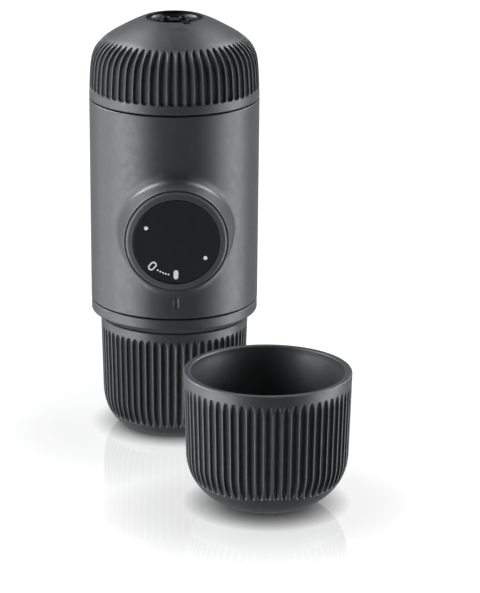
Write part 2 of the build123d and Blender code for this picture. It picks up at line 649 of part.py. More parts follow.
def valve_block():
    """Upright block behind the cylinder with the inlet, outlet and relief valve bores."""
    wide, deep = BLOCK_SIZE
    block = Pos(0, COLUMN_Y, BLOCK_BOTTOM) * Box(wide, deep, BLOCK_TOP - BLOCK_BOTTOM, align=STAND)
    block = fillet(block.edges().filter_by(Axis.Z).sort_by(Axis.Y)[-2:], BLOCK_ROUND)
    column = (0, COLUMN_Y)
    block -= rod(DUCT_RADIUS, BLOCK_BOTTOM, BLOCK_TOP, column)
    block -= rod(CAGE_RADIUS, BLOCK_BOTTOM, cage_top(INLET_SEAT_TOP), column)
    block -= rod(CAGE_RADIUS, OUTLET_SEAT_TOP - SEAT_LENGTH, BLOCK_TOP, column)
    block -= rod(CAGE_RADIUS, RELIEF_SEAT_TOP - SEAT_LENGTH, BLOCK_TOP, RELIEF_PLACE)
    relief_foot = PUMP_HEIGHT + DUCT_RADIUS
    block -= bar(RETURN_RADIUS, relief_foot, RELIEF_SEAT_TOP, RELIEF_PLACE)
    block -= bar(RETURN_RADIUS, BLOCK_BOTTOM, RELIEF_SEAT_TOP + BALL_RADIUS, RETURN_PLACE)
    link = Pos(RELIEF_PLACE[0], RELIEF_PLACE[1], RELIEF_SEAT_TOP + BALL_RADIUS / 2)
    block -= link * Box(RETURN_RADIUS, RETURN_PLACE[1] - RELIEF_PLACE[1], RETURN_RADIUS,
                        align=(Align.CENTER, Align.MIN, Align.CENTER))
    block -= PUMP_AXIS * rod(SIDE_DUCT_RADIUS, -COLUMN_Y, CYLINDER_BACK)
    block -= PUMP_AXIS * rod(CYLINDER_BORE - CYLINDER_WALL, CYLINDER_BACK - INLET_POCKET, CYLINDER_BACK)
    cross = Pos(0, RELIEF_PLACE[1], PUMP_HEIGHT + DUCT_RADIUS)
    block -= cross * Box(RELIEF_PLACE[0], CROSS_DUCT, CROSS_DUCT, align=(Align.MIN, Align.CENTER, Align.CENTER))
    return block - screw_holes(BASE_HEAD_FLOOR, -1) - screw_holes(BREW_HEAD_FLOOR, 1)


def ball_centre(seat_top):
    """Height of a ball that rests on a seat."""
    return seat_top + BALL_RISE + FIT / 2


def spring_bottom(seat_top):
    """Height of the lower end of the spring over a valve's ball."""
    return ball_centre(seat_top) + BALL_RADIUS + FIT


def cage_top(seat_top):
    """Height of the shoulder that the spring over a ball bears against."""
    return spring_bottom(seat_top) + VALVE_SPRING_LENGTH + FIT


def valve_seat(seat_top, place):
    """Ring that a valve's ball or poppet closes on."""
    return ring(SEAT_BORE, CAGE_RADIUS - RUN_FIT, seat_top - SEAT_LENGTH + FIT, seat_top, place)


def valve_ball(seat_top, place):
    """Ball that rests on a seat."""
    return Pos(*place, ball_centre(seat_top)) * Sphere(BALL_RADIUS)


def valve_spring(seat_top, place):
    """Light spring over a valve's ball."""
    low = spring_bottom(seat_top)
    mean = BALL_RADIUS - VALVE_SPRING_WIRE
    coil = coil_spring(mean, VALVE_SPRING_WIRE, low, low + VALVE_SPRING_LENGTH, VALVE_SPRING_TURNS)
    return Pos(*place, 0) * coil


def valve_plug(seat_top, place):
    """Hollow plug that closes a valve's bore and holds its spring."""
    return ring(DUCT_RADIUS, CAGE_RADIUS - RUN_FIT, cage_top(seat_top), BLOCK_TOP - FIT, place)


def relief_poppet():
    """Pointed valve that opens when the pressure is too high."""
    tip, shoulder = RELIEF_SEAT_TOP - SEAT_BORE, RELIEF_SEAT_TOP + FIT / 2
    cone = Cone(POPPET_TIP, SEAT_BORE - RUN_FIT, shoulder - tip, align=STAND)
    head = rod(BALL_RADIUS, shoulder, ball_centre(RELIEF_SEAT_TOP) + BALL_RADIUS)
    return Pos(*RELIEF_PLACE, tip) * cone + Pos(*RELIEF_PLACE, 0) * head


def inlet_strainer():
    """Slotted cap over the inlet, on the underside of the body's floor."""
    top = FLOOR_BOTTOM - FIT
    bottom = top - STRAINER_HEIGHT
    cap = rod(CAGE_RADIUS + STRAINER_RIM, bottom, top)
    cap -= rod(DUCT_RADIUS + STRAINER_RIM, bottom + STRAINER_HEIGHT / 2, top)
    for n in (-1, 0, 1):
        cap -= Pos(n * STRAINER_PITCH, 0, bottom) * Box(STRAINER_SLOT, 2 * DUCT_RADIUS, STRAINER_HEIGHT)
    return Pos(0, COLUMN_Y, 0) * cap


def air_valve():
    """Rubber umbrella that lets air into the tank as the water leaves."""
    radius, height = AIR_CAP
    under, over = FLOOR_BOTTOM - FIT, FLOOR_TOP + FIT
    cap = turned(
        (0, under - height), (AIR_CAP_TIP, under - height), (radius, under - AIR_CAP_EDGE), (radius, under),
        (RETURN_RADIUS, under), (RETURN_RADIUS, over), (RETURN_RADIUS + AIR_BARB, over),
        (RETURN_RADIUS, over + AIR_BARB_RISE), (0, over + AIR_BARB_RISE),
    )
    return Pos(*AIR_VALVE_PLACE, 0) * cap


def brew_head():
    """Upper bulkhead of the body, with the neck that the outlet head screws onto."""
    head = rod(BODY_BORE_RADIUS - FIT, BULKHEAD_BOTTOM, BULKHEAD_TOP)
    head += ring(BREW_BORE, BREW_NECK_RADIUS, BULKHEAD_TOP, BREW_NECK_TOP)
    head += ring(BREW_BORE - LEDGE_WIDTH, BREW_BORE, BULKHEAD_TOP, SCREEN_BOTTOM - FIT)
    head += rod(POST_RADIUS, BULKHEAD_TOP, SCREEN_BOTTOM - FIT)
    head -= rod(SCREW_SHANK + RUN_FIT, BULKHEAD_TOP, SCREEN_BOTTOM)
    head -= rod(DUCT_RADIUS, BULKHEAD_BOTTOM, BULKHEAD_TOP, (0, COLUMN_Y))
    head -= o_ring_groove((BULKHEAD_BOTTOM + BULKHEAD_TOP) / 2)
    return head - screw_holes(BREW_HEAD_FLOOR, 1)


def perforation(low, high, ring_radii):
    """Cutters for rings of six-sided holes between two heights."""
    cutters = []
    for radius, count in zip(ring_radii, RING_HOLE_COUNTS):
        for n in range(count):
            angle = 2 * math.pi * n / count
            place = Pos(radius * math.cos(angle), radius * math.sin(angle), low)
            cutters.append(place * extrude(RegularPolygon(SCREEN_HOLE, 6), high - low))
    return Part() + cutters


def shower_screen():
    """Perforated disc that spreads the water over the coffee."""
    screen = ring(SCREW_SHANK + FIT, BREW_BORE - FIT, SCREEN_BOTTOM, SCREEN_TOP)
    return screen - perforation(SCREEN_BOTTOM, SCREEN_TOP, SCREEN_RING_RADII)


def screen_screw():
    """Screw in the middle of the shower screen."""
    head = rod(POST_RADIUS - FIT, SCREEN_TOP + FIT, SCREEN_TOP + FIT + SCREW_HEAD_HEIGHT)
    return head + rod(SCREW_SHANK, BULKHEAD_TOP + FIT, SCREEN_TOP + FIT)


def basket_gasket():
    """Soft ring that the basket's mouth seals on."""
    return ring(BASKET_RADIUS - BASKET_WALL, BREW_BORE - FIT, SCREEN_TOP + FIT, GASKET_TOP)


def filter_basket():
    """Metal basket for the coffee, mouth down, with its perforated floor on top."""
    bore = BASKET_RADIUS - BASKET_WALL
    flange = BASKET_RADIUS + BASKET_FLANGE
    basket = turned(
        (bore, BASKET_BOTTOM), (flange, BASKET_BOTTOM), (flange, BASKET_BOTTOM + BASKET_WALL),
        (BASKET_RADIUS, BASKET_BOTTOM + BASKET_WALL), (BASKET_RADIUS, BASKET_TOP), (0, BASKET_TOP),
        (0, BASKET_TOP - BASKET_WALL), (bore, BASKET_TOP - BASKET_WALL),
    )
    return basket - perforation(BASKET_TOP - BASKET_WALL, BASKET_TOP, BASKET_RING_RADII)


def seam_ring():
    """Thin dark ring in the line between the body and the outlet head."""
    low = SHELL_TOP + (SEAM_LINE - SEAM_RING_THICKNESS) / 2
    return ring(BODY_BORE_RADIUS, SHELL_HEAD_RADIUS - SEAM_RING_INSET, low, low + SEAM_RING_THICKNESS)


def portafilter_core():
    """Inner moulding of the head: it screws onto the body and holds the basket."""
    shoulder = BREW_NECK_TOP + LOOSE
    wall = CORE_NECK_BORE + CORE_WALL
    core = turned(
        (CORE_BORE, BULKHEAD_TOP + LOOSE), (CORE_RADIUS, BULKHEAD_TOP + LOOSE),
        (CORE_RADIUS, shoulder + CORE_SHOULDER), (wall, shoulder + CORE_SHOULDER),
        (wall, CORE_CEILING + CORE_WALL / 2), (CORE_TOP_RADIUS, CORE_TOP), (DUCT_RADIUS, CORE_TOP),
        (DUCT_RADIUS, CORE_CEILING + CORE_CONE_RISE), (CORE_NECK_BORE, CORE_CEILING),
        (CORE_NECK_BORE, shoulder), (CORE_BORE, shoulder),
    )
    inner, outer = SPOUT_SEAL_RADIUS - O_RING_WIRE - FIT, SPOUT_SEAL_RADIUS + O_RING_WIRE + FIT
    return core - ring(inner, outer, CORE_TOP - 2 * O_RING_WIRE, CORE_TOP)


def dome_curve():
    """Smooth outline of the dome from its bottom edge to the rim of its opening, as (radius, height)."""
    points = [(SHELL_HEAD_RADIUS - inset, DOME_TOP - drop) for inset, drop in DOME_OUTLINE]
    foot, lip = (SHELL_HEAD_RADIUS, DOME_BOTTOM), (SPOUT_RADIUS + DOME_LIP, DOME_TOP)
    return Spline(foot, *points, lip, tangents=((DOME_FOOT_SLOPE, 1), (-1, DOME_TOP_SLOPE)))


def dome_cavity():
    """Hollow of the dome: its outline moved inwards by the wall."""
    curve = dome_curve()
    points = [(0, DOME_BOTTOM)]
    for n in range(DOME_STEPS + 1):
        share = (1 - DOME_LIP_SHARE) * n / DOME_STEPS
        place, slope = curve @ share, curve % share
        points.append((place.X - slope.Y * DOME_WALL, place.Y + slope.X * DOME_WALL if n else DOME_BOTTOM))
    return turned(*points, (0, points[-1][1]))


def outlet_dome():
    """Ribbed dome of the outlet head, open at the top for the spout."""
    curve = dome_curve()
    points = [curve @ (n / DOME_STEPS) for n in range(DOME_STEPS + 1)]
    solid = turned((0, DOME_BOTTOM), *points, (0, DOME_TOP))
    low, high = DOME_BOTTOM + DOME_BAND, DOME_TOP - DOME_RIB_DROP
    bends = [DOME_TOP - drop for drop in DOME_RIB_BENDS]
    dome = with_ribs(solid, Plane.XZ * Polyline(*points), low, high, bends)
    dome -= dome_cavity()
    dome -= rod(SPOUT_RADIUS + FIT, DOME_BOTTOM, DOME_TOP)
    return dome - rod(TAB_RADIUS + FIT, DOME_BOTTOM, DOME_TOP, TAB_PLACE)


def spout():
    """Recessed insert in the dome's opening with the two nozzles that the coffee leaves by."""
    low, high = CORE_TOP + FIT, DOME_TOP - SPOUT_INSET
    floor = low + SPOUT_FLOOR
    insert = ring(SPOUT_RADIUS - SPOUT_WALL, SPOUT_RADIUS, low, high) + rod(SPOUT_RADIUS, low, floor)
    insert += rod(TAB_RADIUS, floor, high, TAB_PLACE)
    island = extrude(SlotCenterToCenter(NOZZLE_SPACING, 2 * NOZZLE_RADIUS), high - NOZZLE_DROP - floor)
    insert += Pos(0, 0, floor) * island
    for side in (-1, 1):
        place = (side * NOZZLE_SPACING / 2, 0)
        insert -= rod(NOZZLE_BORE, low, high, place)
    insert -= Pos(0, 0, low) * Box(NOZZLE_SPACING, 2 * DUCT_RADIUS, SPOUT_FLOOR)
    return insert


def spout_seal():
    """O-ring between the spout and the core."""
    return o_ring(SPOUT_SEAL_RADIUS, CORE_TOP - O_RING_WIRE + FIT / 2)


def all_parts():
    """Every sub-part by the name of its node."""
    column = (0, COLUMN_Y)
    return {
        "water_tank": water_tank(),
        "tank_seal": tank_seal(),
        "chassis_base": chassis_base(),
        "lower_o_ring": o_ring(BODY_BORE_RADIUS - FIT - O_RING_WIRE, (FLOOR_BOTTOM + FLOOR_TOP) / 2),
        "body_collar": body_collar(),
        "body_shell": body_shell(),
        "inlet_strainer": inlet_strainer(),
        "air_valve": air_valve(),
        "base_screws": screws(BASE_HEAD_FLOOR, -1),
        "pump_housing": pump_housing(),
        "pump_cylinder": pump_cylinder(),
        "cylinder_screws": cylinder_screws(),
        "plunger": plunger(),
        "piston_seal": piston_seal(),
        "return_spring": return_spring(),
        "knob": knob(),
        "knob_screw": knob_screw(),
        "dial_face": dial_face(),
        "valve_block": valve_block(),
        "inlet_seat": valve_seat(INLET_SEAT_TOP, column),
        "inlet_ball": valve_ball(INLET_SEAT_TOP, column),
        "inlet_spring": valve_spring(INLET_SEAT_TOP, column),
        "outlet_seat": valve_seat(OUTLET_SEAT_TOP, column),
        "outlet_ball": valve_ball(OUTLET_SEAT_TOP, column),
        "outlet_spring": valve_spring(OUTLET_SEAT_TOP, column),
        "outlet_plug": valve_plug(OUTLET_SEAT_TOP, column),
        "relief_seat": valve_seat(RELIEF_SEAT_TOP, RELIEF_PLACE),
        "relief_poppet": relief_poppet(),
        "relief_spring": valve_spring(RELIEF_SEAT_TOP, RELIEF_PLACE),
        "relief_plug": valve_plug(RELIEF_SEAT_TOP, RELIEF_PLACE),
        "brew_head": brew_head(),
        "upper_o_ring": o_ring(BODY_BORE_RADIUS - FIT - O_RING_WIRE, (BULKHEAD_BOTTOM + BULKHEAD_TOP) / 2),
        "brew_screws": screws(BREW_HEAD_FLOOR, 1),
        "shower_screen": shower_screen(),
        "screen_screw": screen_screw(),
        "basket_gasket": basket_gasket(),
        "filter_basket": filter_basket(),
        "seam_ring": seam_ring(),
        "portafilter_core": portafilter_core(),
        "outlet_dome": outlet_dome(),
        "spout": spout(),
        "spout_seal": spout_seal(),
        "cup": cup(),
    }


os.makedirs("parts", exist_ok=True)
for node, shape in all_parts().items():
    export_step(shape, f"parts/{node}.step")
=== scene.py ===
"""Looks of a handheld espresso maker and its loose cup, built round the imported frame.

Sizes are in millimetres, and become metres where a mesh, a lamp or a camera is made. Forward
sizes of the pump and its dial are counted along the pump's own axis, from the machine's axis
towards -Y. An outline is a list of (radius, height) points.
"""

import logging
import math
from dataclasses import dataclass, field
from enum import Enum
from typing import Iterable, Sequence

import bmesh
import bpy
from mathutils import Matrix, Vector
from mathutils.geometry import interpolate_bezier


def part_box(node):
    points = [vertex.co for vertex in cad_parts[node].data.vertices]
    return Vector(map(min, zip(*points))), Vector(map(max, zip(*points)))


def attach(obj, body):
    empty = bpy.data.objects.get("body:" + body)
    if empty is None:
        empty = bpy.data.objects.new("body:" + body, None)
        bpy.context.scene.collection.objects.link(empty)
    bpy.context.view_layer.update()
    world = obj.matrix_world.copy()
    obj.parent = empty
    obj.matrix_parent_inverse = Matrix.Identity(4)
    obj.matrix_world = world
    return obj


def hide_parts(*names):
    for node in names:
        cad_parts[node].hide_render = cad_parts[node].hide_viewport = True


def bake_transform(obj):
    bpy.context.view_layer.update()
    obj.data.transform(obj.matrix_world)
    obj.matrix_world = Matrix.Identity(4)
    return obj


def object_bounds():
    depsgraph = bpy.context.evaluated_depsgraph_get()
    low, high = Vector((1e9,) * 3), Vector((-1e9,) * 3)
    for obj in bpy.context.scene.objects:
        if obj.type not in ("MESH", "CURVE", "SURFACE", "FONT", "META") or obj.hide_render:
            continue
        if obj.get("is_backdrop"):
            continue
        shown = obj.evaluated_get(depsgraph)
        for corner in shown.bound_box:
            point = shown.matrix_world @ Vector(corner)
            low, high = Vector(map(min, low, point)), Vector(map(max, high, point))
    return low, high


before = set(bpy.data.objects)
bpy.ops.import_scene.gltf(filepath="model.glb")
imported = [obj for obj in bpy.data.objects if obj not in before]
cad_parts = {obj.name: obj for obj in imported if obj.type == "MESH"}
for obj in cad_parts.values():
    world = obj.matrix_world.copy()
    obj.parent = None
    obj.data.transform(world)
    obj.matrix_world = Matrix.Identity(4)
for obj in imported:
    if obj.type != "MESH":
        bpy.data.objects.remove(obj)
CAD_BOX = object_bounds()

LOG = logging.getLogger("espresso_maker")
MM = 0.001
TURN = 2 * math.pi
ON_AXIS = 1e-4
NEAR = 1e-6
HAIR = 1e-9
PUMP_HEIGHT = 80.6
SHARP_ANGLE = math.radians(34)
SHARP_CORNER = (0.0, 4)
# Edges of turned pieces, each as its bend's radius and the number of its steps.
FINE_EDGE = (0.1, 2)
SOFT_EDGE = (0.2, 2)
FULL_EDGE = (0.3, 3)
HOLLOW = "hollow"
NOISE_SPAN = (0.3, 0.7)
ROW_SPACING = math.sqrt(3) / 2
NEUTRAL = (1.0, 1.0, 1.0)
WHITE = (1.0, 1.0, 1.0, 1.0)

Point = tuple[float, float]
Corner = tuple[float, ...]
Colour = tuple[float, float, float]
Material = bpy.types.Material
Piece = bpy.types.Object
Socket = bpy.types.NodeSocket
Value = Socket | float | tuple[float, ...]


class Slot(Enum):
    """Material slots of the record, one of which each finish carries."""

    GREY_PLASTIC = "grey_plastic"
    BLACK_PLASTIC = "black_plastic"
    FRAME_PLASTIC = "frame_plastic"
    SEAL_RUBBER = "seal_rubber"
    STEEL = "steel"
    VALVE_BRASS = "valve_brass"


class Lie(Enum):
    """Which way a turned piece's own axis points."""

    UPRIGHT = "upright"
    FORWARD = "forward"


# --------------------------------------------------------------------------- finishes


class NodeTree:
    """Procedural nodes of a material or of the world, added one by one."""

    def __init__(self, owner: Material | bpy.types.World) -> None:
        """Empty the owner's nodes.

        Args:
            owner: The material or the world.
        """
        owner.use_nodes = True
        self.tree = owner.node_tree
        self.tree.nodes.clear()

    def feed(self, socket: Socket, value: Value) -> None:
        """Give an input what it takes.

        Args:
            socket: The input.
            value: An output to link it to, or a plain number or colour.
        """
        if isinstance(value, Socket):
            self.tree.links.new(value, socket)
        else:
            socket.default_value = value

    def node(self, kind: str, **inputs: Value) -> bpy.types.Node:
        """Add a node.

        Args:
            kind: Its type, without the words that every type starts with.
            inputs: What its inputs take, by name with _ for a space.

        Returns:
            The node.
        """
        made = self.tree.nodes.new("ShaderNode" + kind)
        for name, value in inputs.items():
            self.feed(made.inputs[name.replace("_", " ")], value)
        return made

    def math(self, operation: str, *values: Value) -> Socket:
        """Add a calculation.

        Args:
            operation: Its name.
            values: What it takes, in order.

        Returns:
            The calculated value.
        """
        node = self.node("Math")
        node.operation = operation
        for socket, value in zip(node.inputs, values):
            self.feed(socket, value)
        return node.outputs[0]

    def length(self, across: Socket, along: Socket) -> Socket:
        """Give the distance that lies so far across and so far along."""
        squares = (self.math("POWER", side, 2.0) for side in (across, along))
        return self.math("SQRT", self.math("ADD", *squares))

    def split(self, vector: Socket) -> tuple[Socket, ...]:
        """Give the three parts of a vector."""
        return tuple(self.node("SeparateXYZ", Vector=vector).outputs)

    def span(self, value: Socket, source: Point, target: Point, smooth: bool = False) -> Socket:
        """Carry a value over from one range to another.

        Args:
            value: The value.
            source: Range that it comes from.
            target: Range that it goes to.
            smooth: Whether it eases in and out.

        Returns:
            The value in its new range, which it doesn't leave.
        """
        node = self.node("MapRange", Value=value, From_Min=source[0], From_Max=source[1])
        self.feed(node.inputs["To Min"], target[0])
        self.feed(node.inputs["To Max"], target[1])
        node.interpolation_type = "SMOOTHSTEP" if smooth else "LINEAR"
        return node.outputs["Result"]

    def rays(self, *kinds: str) -> Socket:
        """Tell some kinds of rays from the rest.

        Args:
            kinds: Names of the kinds.

        Returns:
            1 where the ray is of one of them, or else 0.
        """
        paths = self.node("LightPath").outputs
        found = paths[f"Is {kinds[0]} Ray"]
        for kind in kinds[1:]:
            found = self.math("MAXIMUM", found, paths[f"Is {kind} Ray"])
        return found


class Shader(NodeTree):
    """The nodes of one material, with its surface shader ready to be fed."""

    def __init__(self, name: str) -> None:
        """Start a material.

        Args:
            name: Its name.
        """
        self.material = bpy.data.materials.new(name)
        super().__init__(self.material)
        self.surface = self.node("BsdfPrincipled")
        self.node("OutputMaterial", Surface=self.surface.outputs["BSDF"])
        self.place = self.node("TexCoord").outputs["Object"]

    def noise(self, size: float, detail: float = 2.0, stretch: Colour = NEUTRAL) -> Socket:
        """Add a noise over the piece's own space.

        Args:
            size: Width of one feature.
            detail: How many finer layers it holds.
            stretch: Shrinking of the three directions, for streaks.

        Returns:
            The noise's grey value.
        """
        place = self.node("Mapping", Vector=self.place, Scale=stretch).outputs["Vector"]
        return self.node("TexNoise", Vector=place, Scale=1 / (size * MM), Detail=detail).outputs["Fac"]

    def ramp(self, value: Socket, low: float, high: float) -> Socket:
        """Spread a noise's grey values from one number to another."""
        return self.span(value, NOISE_SPAN, (low, high))

    def mix(self, share: Socket, first: Colour, second: Colour) -> Socket:
        """Add a mix of two colours.

        Args:
            share: How much of the second colour shows.
            first: Colour at 0.
            second: Colour at 1.

        Returns:
            The mixed colour.
        """
        node = self.node("Mix")
        node.data_type = "RGBA"
        self.feed(node.inputs["Factor"], share)
        for socket, colour in zip((s for s in node.inputs if s.type == "RGBA"), (first, second)):
            self.feed(socket, (*colour, 1.0))
        return next(s for s in node.outputs if s.type == "RGBA")

    def bump(self, height: Socket, depth: float) -> Socket:
        """Give the normal of a surface that a pattern raises to some depth."""
        return self.node("Bump", Height=height, Strength=1.0, Distance=depth * MM).outputs["Normal"]

    def coat(self, **inputs: Value) -> Material:
        """Feed the surface shader.

        Args:
            inputs: What its inputs take, by name with _ for a space.

        Returns:
            The material.
        """
        for name, value in inputs.items():
            self.feed(self.surface.inputs[name.replace("_", " ")], value)
        return self.material


def scaled(colour: Colour, factor: float) -> Colour:
    """Give a colour made lighter or darker by a factor."""
    return tuple(min(1.0, part * factor) for part in colour)


def grey(level: float, warmth: float = 0.0) -> Colour:
    """Give a linear grey of that level, a little warmer or cooler."""
    return (level * (1 + warmth), level, level * (1 - warmth))


@dataclass(frozen=True)
class MouldedPlastic:
    """Spark-textured moulded plastic with faint clouding, duller in its hollows and darker there by painted
    shade.
    """

    name: str
    shade: Colour
    roughness: float = 0.4
    spread: float = 0.06
    grain_size: float = 0.3
    grain_depth: float = 0.006
    reflection: float = 0.5
    cloud_size: float = 9.0
    rub_size: float = 2.2
    contrast: float = 0.08
    hollow_painted_shade: float = 2.0
    hollow_roughness: float = 0.35

    def material(self) -> Material:
        """Build the plastic's material.

        Returns:
            The material.
        """
        shader = Shader(self.name)
        hollow = shader.node("Attribute")
        hollow.attribute_name = HOLLOW
        depth = hollow.outputs["Fac"]
        cloud = shader.ramp(shader.noise(self.cloud_size, 3.0), 0, 1)
        # Painted shade: the base colour darkens with the flute depth, standing in for the shade in the
        # hollows.
        cloud_and_painted_shade = shader.math("SUBTRACT", cloud, shader.math("MULTIPLY", depth, self.hollow_painted_shade))
        low, high = self.roughness - self.spread, self.roughness + self.spread
        rough = shader.ramp(shader.noise(self.rub_size, 4.0), low, high)
        dark, light = scaled(self.shade, 1 - self.contrast), scaled(self.shade, 1 + self.contrast)
        return shader.coat(
            Base_Color=shader.mix(cloud_and_painted_shade, dark, light),
            Roughness=shader.math("ADD", rough, shader.math("MULTIPLY", depth, self.hollow_roughness)),
            Normal=shader.bump(shader.noise(self.grain_size, 3.0), self.grain_depth),
            Specular_IOR_Level=self.reflection,
        )


@dataclass(frozen=True)
class SealRubber:
    """Matt moulded rubber with a dusty bloom."""

    name: str = "seal_rubber_finish"
    shade: Colour = (0.022, 0.021, 0.021)
    bloom: float = 2.2
    bloom_size: float = 3.0
    bloom_detail: float = 5.0
    roughness: Point = (0.62, 0.85)
    wear_size: float = 1.1
    grain_size: float = 0.18
    grain_depth: float = 0.01

    def material(self) -> Material:
        """Build the rubber's material.

        Returns:
            The material.
        """
        shader = Shader(self.name)
        bloom = shader.ramp(shader.noise(self.bloom_size, self.bloom_detail), 0, 1)
        return shader.coat(
            Base_Color=shader.mix(bloom, self.shade, scaled(self.shade, self.bloom)),
            Roughness=shader.ramp(shader.noise(self.wear_size, 3.0), *self.roughness),
            Normal=shader.bump(shader.noise(self.grain_size, 2.0), self.grain_depth),
        )


@dataclass(frozen=True)
class TurnedMetal:
    """Metal with the fine rings that turning or drawing leaves, and a slight tarnish."""

    name: str
    shade: Colour
    roughness: float = 0.28
    ring_width: float = 0.12
    ring_depth: float = 0.003
    spread: Point = (-0.07, 0.1)
    tarnish: float = 0.82
    tarnish_size: float = 4.0
    smear: Colour = (0.02, 0.02, 1.0)

    def material(self) -> Material:
        """Build the metal's material.

        Returns:
            The material.
        """
        shader = Shader(self.name)
        tarnish = shader.ramp(shader.noise(self.tarnish_size, 4.0), 0, 1)
        rings = shader.noise(self.ring_width, 1.0, self.smear)
        return shader.coat(
            Base_Color=shader.mix(tarnish, scaled(self.shade, self.tarnish), self.shade),
            Roughness=shader.ramp(rings, *(self.roughness + change for change in self.spread)),
            Normal=shader.bump(rings, self.ring_depth),
            Metallic=1.0,
        )


@dataclass(frozen=True)
class PerforatedSteel:
    """Steel sheet with rows of fine punched holes inside a radius of the upright axis, the holes painted
    near black as the shade inside them.
    """

    name: str
    shade: Colour = (0.3, 0.295, 0.285)
    hole_painted_shade: Colour = (0.01, 0.01, 0.01)
    pitch: float = 1.5
    hole: float = 0.42
    reach: float = 18.0
    hole_depth: float = 0.12
    roughness: Point = (0.3, 0.46)
    scratch_size: float = 0.5
    brushing: Colour = (1.0, 0.04, 1.0)

    def material(self) -> Material:
        """Build the sheet's material, with each second row of holes moved on by half a pitch.

        Returns:
            The material.
        """
        shader = Shader(self.name)
        calc, pitch = shader.math, self.pitch * MM
        x, y, _ = shader.split(shader.place)
        along = calc("DIVIDE", y, pitch * ROW_SPACING)
        shift = calc("MULTIPLY", calc("FLOORED_MODULO", calc("FLOOR", along), 2.0), 0.5)
        across = calc("ADD", calc("DIVIDE", x, pitch), shift)
        cell_x = calc("SUBTRACT", calc("FRACT", across), 0.5)
        cell_y = calc("SUBTRACT", calc("FRACT", along), 0.5)
        gap = shader.length(cell_x, calc("MULTIPLY", cell_y, ROW_SPACING))
        punched = calc("LESS_THAN", shader.length(x, y), self.reach * MM)
        hole = calc("MULTIPLY", calc("LESS_THAN", gap, self.hole / self.pitch), punched)
        return shader.coat(
            # Painted shade: the holes take a near-black colour for the shade inside them.
            Base_Color=shader.mix(hole, self.shade, self.hole_painted_shade),
            Roughness=shader.ramp(shader.noise(self.scratch_size, 3.0, self.brushing), *self.roughness),
            Normal=shader.bump(calc("SUBTRACT", 1.0, hole), self.hole_depth),
            Metallic=1.0,
        )


@dataclass(frozen=True)
class PrintedInk:
    """Thin screen-printed ink, a little uneven."""

    name: str = "mark_ink"
    shade: Colour = (0.72, 0.73, 0.73)
    thin: float = 0.84
    patch_size: float = 0.25
    roughness: Point = (0.42, 0.6)
    wear_size: float = 0.6
    grain_size: float = 0.12
    grain_depth: float = 0.004

    def material(self) -> Material:
        """Build the ink's material.

        Returns:
            The material.
        """
        shader = Shader(self.name)
        patch = shader.ramp(shader.noise(self.patch_size, 3.0), 0, 1)
        return shader.coat(
            Base_Color=shader.mix(patch, scaled(self.shade, self.thin), self.shade),
            Roughness=shader.ramp(shader.noise(self.wear_size, 2.0), *self.roughness),
            Normal=shader.bump(shader.noise(self.grain_size, 2.0), self.grain_depth),
        )


Finish = MouldedPlastic | SealRubber | TurnedMetal | PerforatedSteel | PrintedInk


@dataclass(frozen=True)
class Coat:
    """Material of a finish, and the record's slot that it belongs to."""

    slot: Slot
    material: Material


def coat(slot: Slot, finish: Finish) -> Coat:
    """Give a field of that finish, whose material is made with the set of finishes."""
    return field(default_factory=lambda: Coat(slot, finish.material()))


@dataclass
class Finishes:
    """Every finish of the machine, each made once."""

    body: Coat = coat(Slot.GREY_PLASTIC, MouldedPlastic("dark_grey_moulding", grey(0.028, -0.05), 0.42))
    cup: Coat = coat(Slot.GREY_PLASTIC, MouldedPlastic("cup_moulding_grey", grey(0.028, -0.05), 0.42))
    knob: Coat = coat(Slot.GREY_PLASTIC, MouldedPlastic("knob_moulding_grey", grey(0.04, -0.05), 0.5))
    dial: Coat = coat(Slot.BLACK_PLASTIC, MouldedPlastic(
        "dial_black", grey(0.011, -0.04), 0.4, 0.04, grain_size=0.2, grain_depth=0.003,
    ))
    black: Coat = coat(Slot.BLACK_PLASTIC, MouldedPlastic(
        "black_moulding", grey(0.007), 0.45, 0.05, reflection=0.02,
    ))
    gloss: Coat = coat(Slot.BLACK_PLASTIC, MouldedPlastic(
        "black_gloss_moulding", grey(0.007), 0.3, 0.04, reflection=0.15,
    ))
    chassis: Coat = coat(Slot.FRAME_PLASTIC, MouldedPlastic(
        "chassis_moulding", grey(0.03), 0.5, 0.08, grain_size=0.5, grain_depth=0.012,
    ))
    rubber: Coat = coat(Slot.SEAL_RUBBER, SealRubber())
    steel: Coat = coat(Slot.STEEL, TurnedMetal("turned_steel", (0.3, 0.295, 0.285), 0.36))
    sheet: Coat = coat(Slot.STEEL, PerforatedSteel("punched_steel"))
    brass: Coat = coat(Slot.VALVE_BRASS, TurnedMetal("valve_brass_turned", (0.55, 0.38, 0.13), 0.3))
    ink: Coat = coat(Slot.GREY_PLASTIC, PrintedInk())


# --------------------------------------------------------------------------- mesh making


def rounded(corners: Sequence[Corner]) -> list[Point]:
    """Round the corners of an outline.

    Args:
        corners: The corners in order, each as its radius and height, followed where it is round
            by the bend's radius and, unless it is 4, the number of its steps.

    Returns:
        The rounded outline.
    """
    line: list[Point] = []
    for n, corner in enumerate(corners):
        here = Vector(corner[:2])
        fillet, steps = (*corner[2:], *SHARP_CORNER[len(corner) - 2:])
        if fillet <= 0:
            line.append(tuple(here))
            continue
        before, after = corners[n - 1], corners[(n + 1) % len(corners)]
        back, on = ((Vector(other[:2]) - here).normalized() for other in (before, after))
        half = math.acos(max(-1.0, min(1.0, back.dot(on)))) / 2
        centre = here + (back + on).normalized() * (fillet / math.sin(half))
        reach = fillet / math.tan(half)
        start, end = here + back * reach - centre, here + on * reach - centre
        turn = start.angle_signed(end)
        line += [tuple(centre + Matrix.Rotation(-turn * k / steps, 2) @ start) for k in range(steps + 1)]
    return line


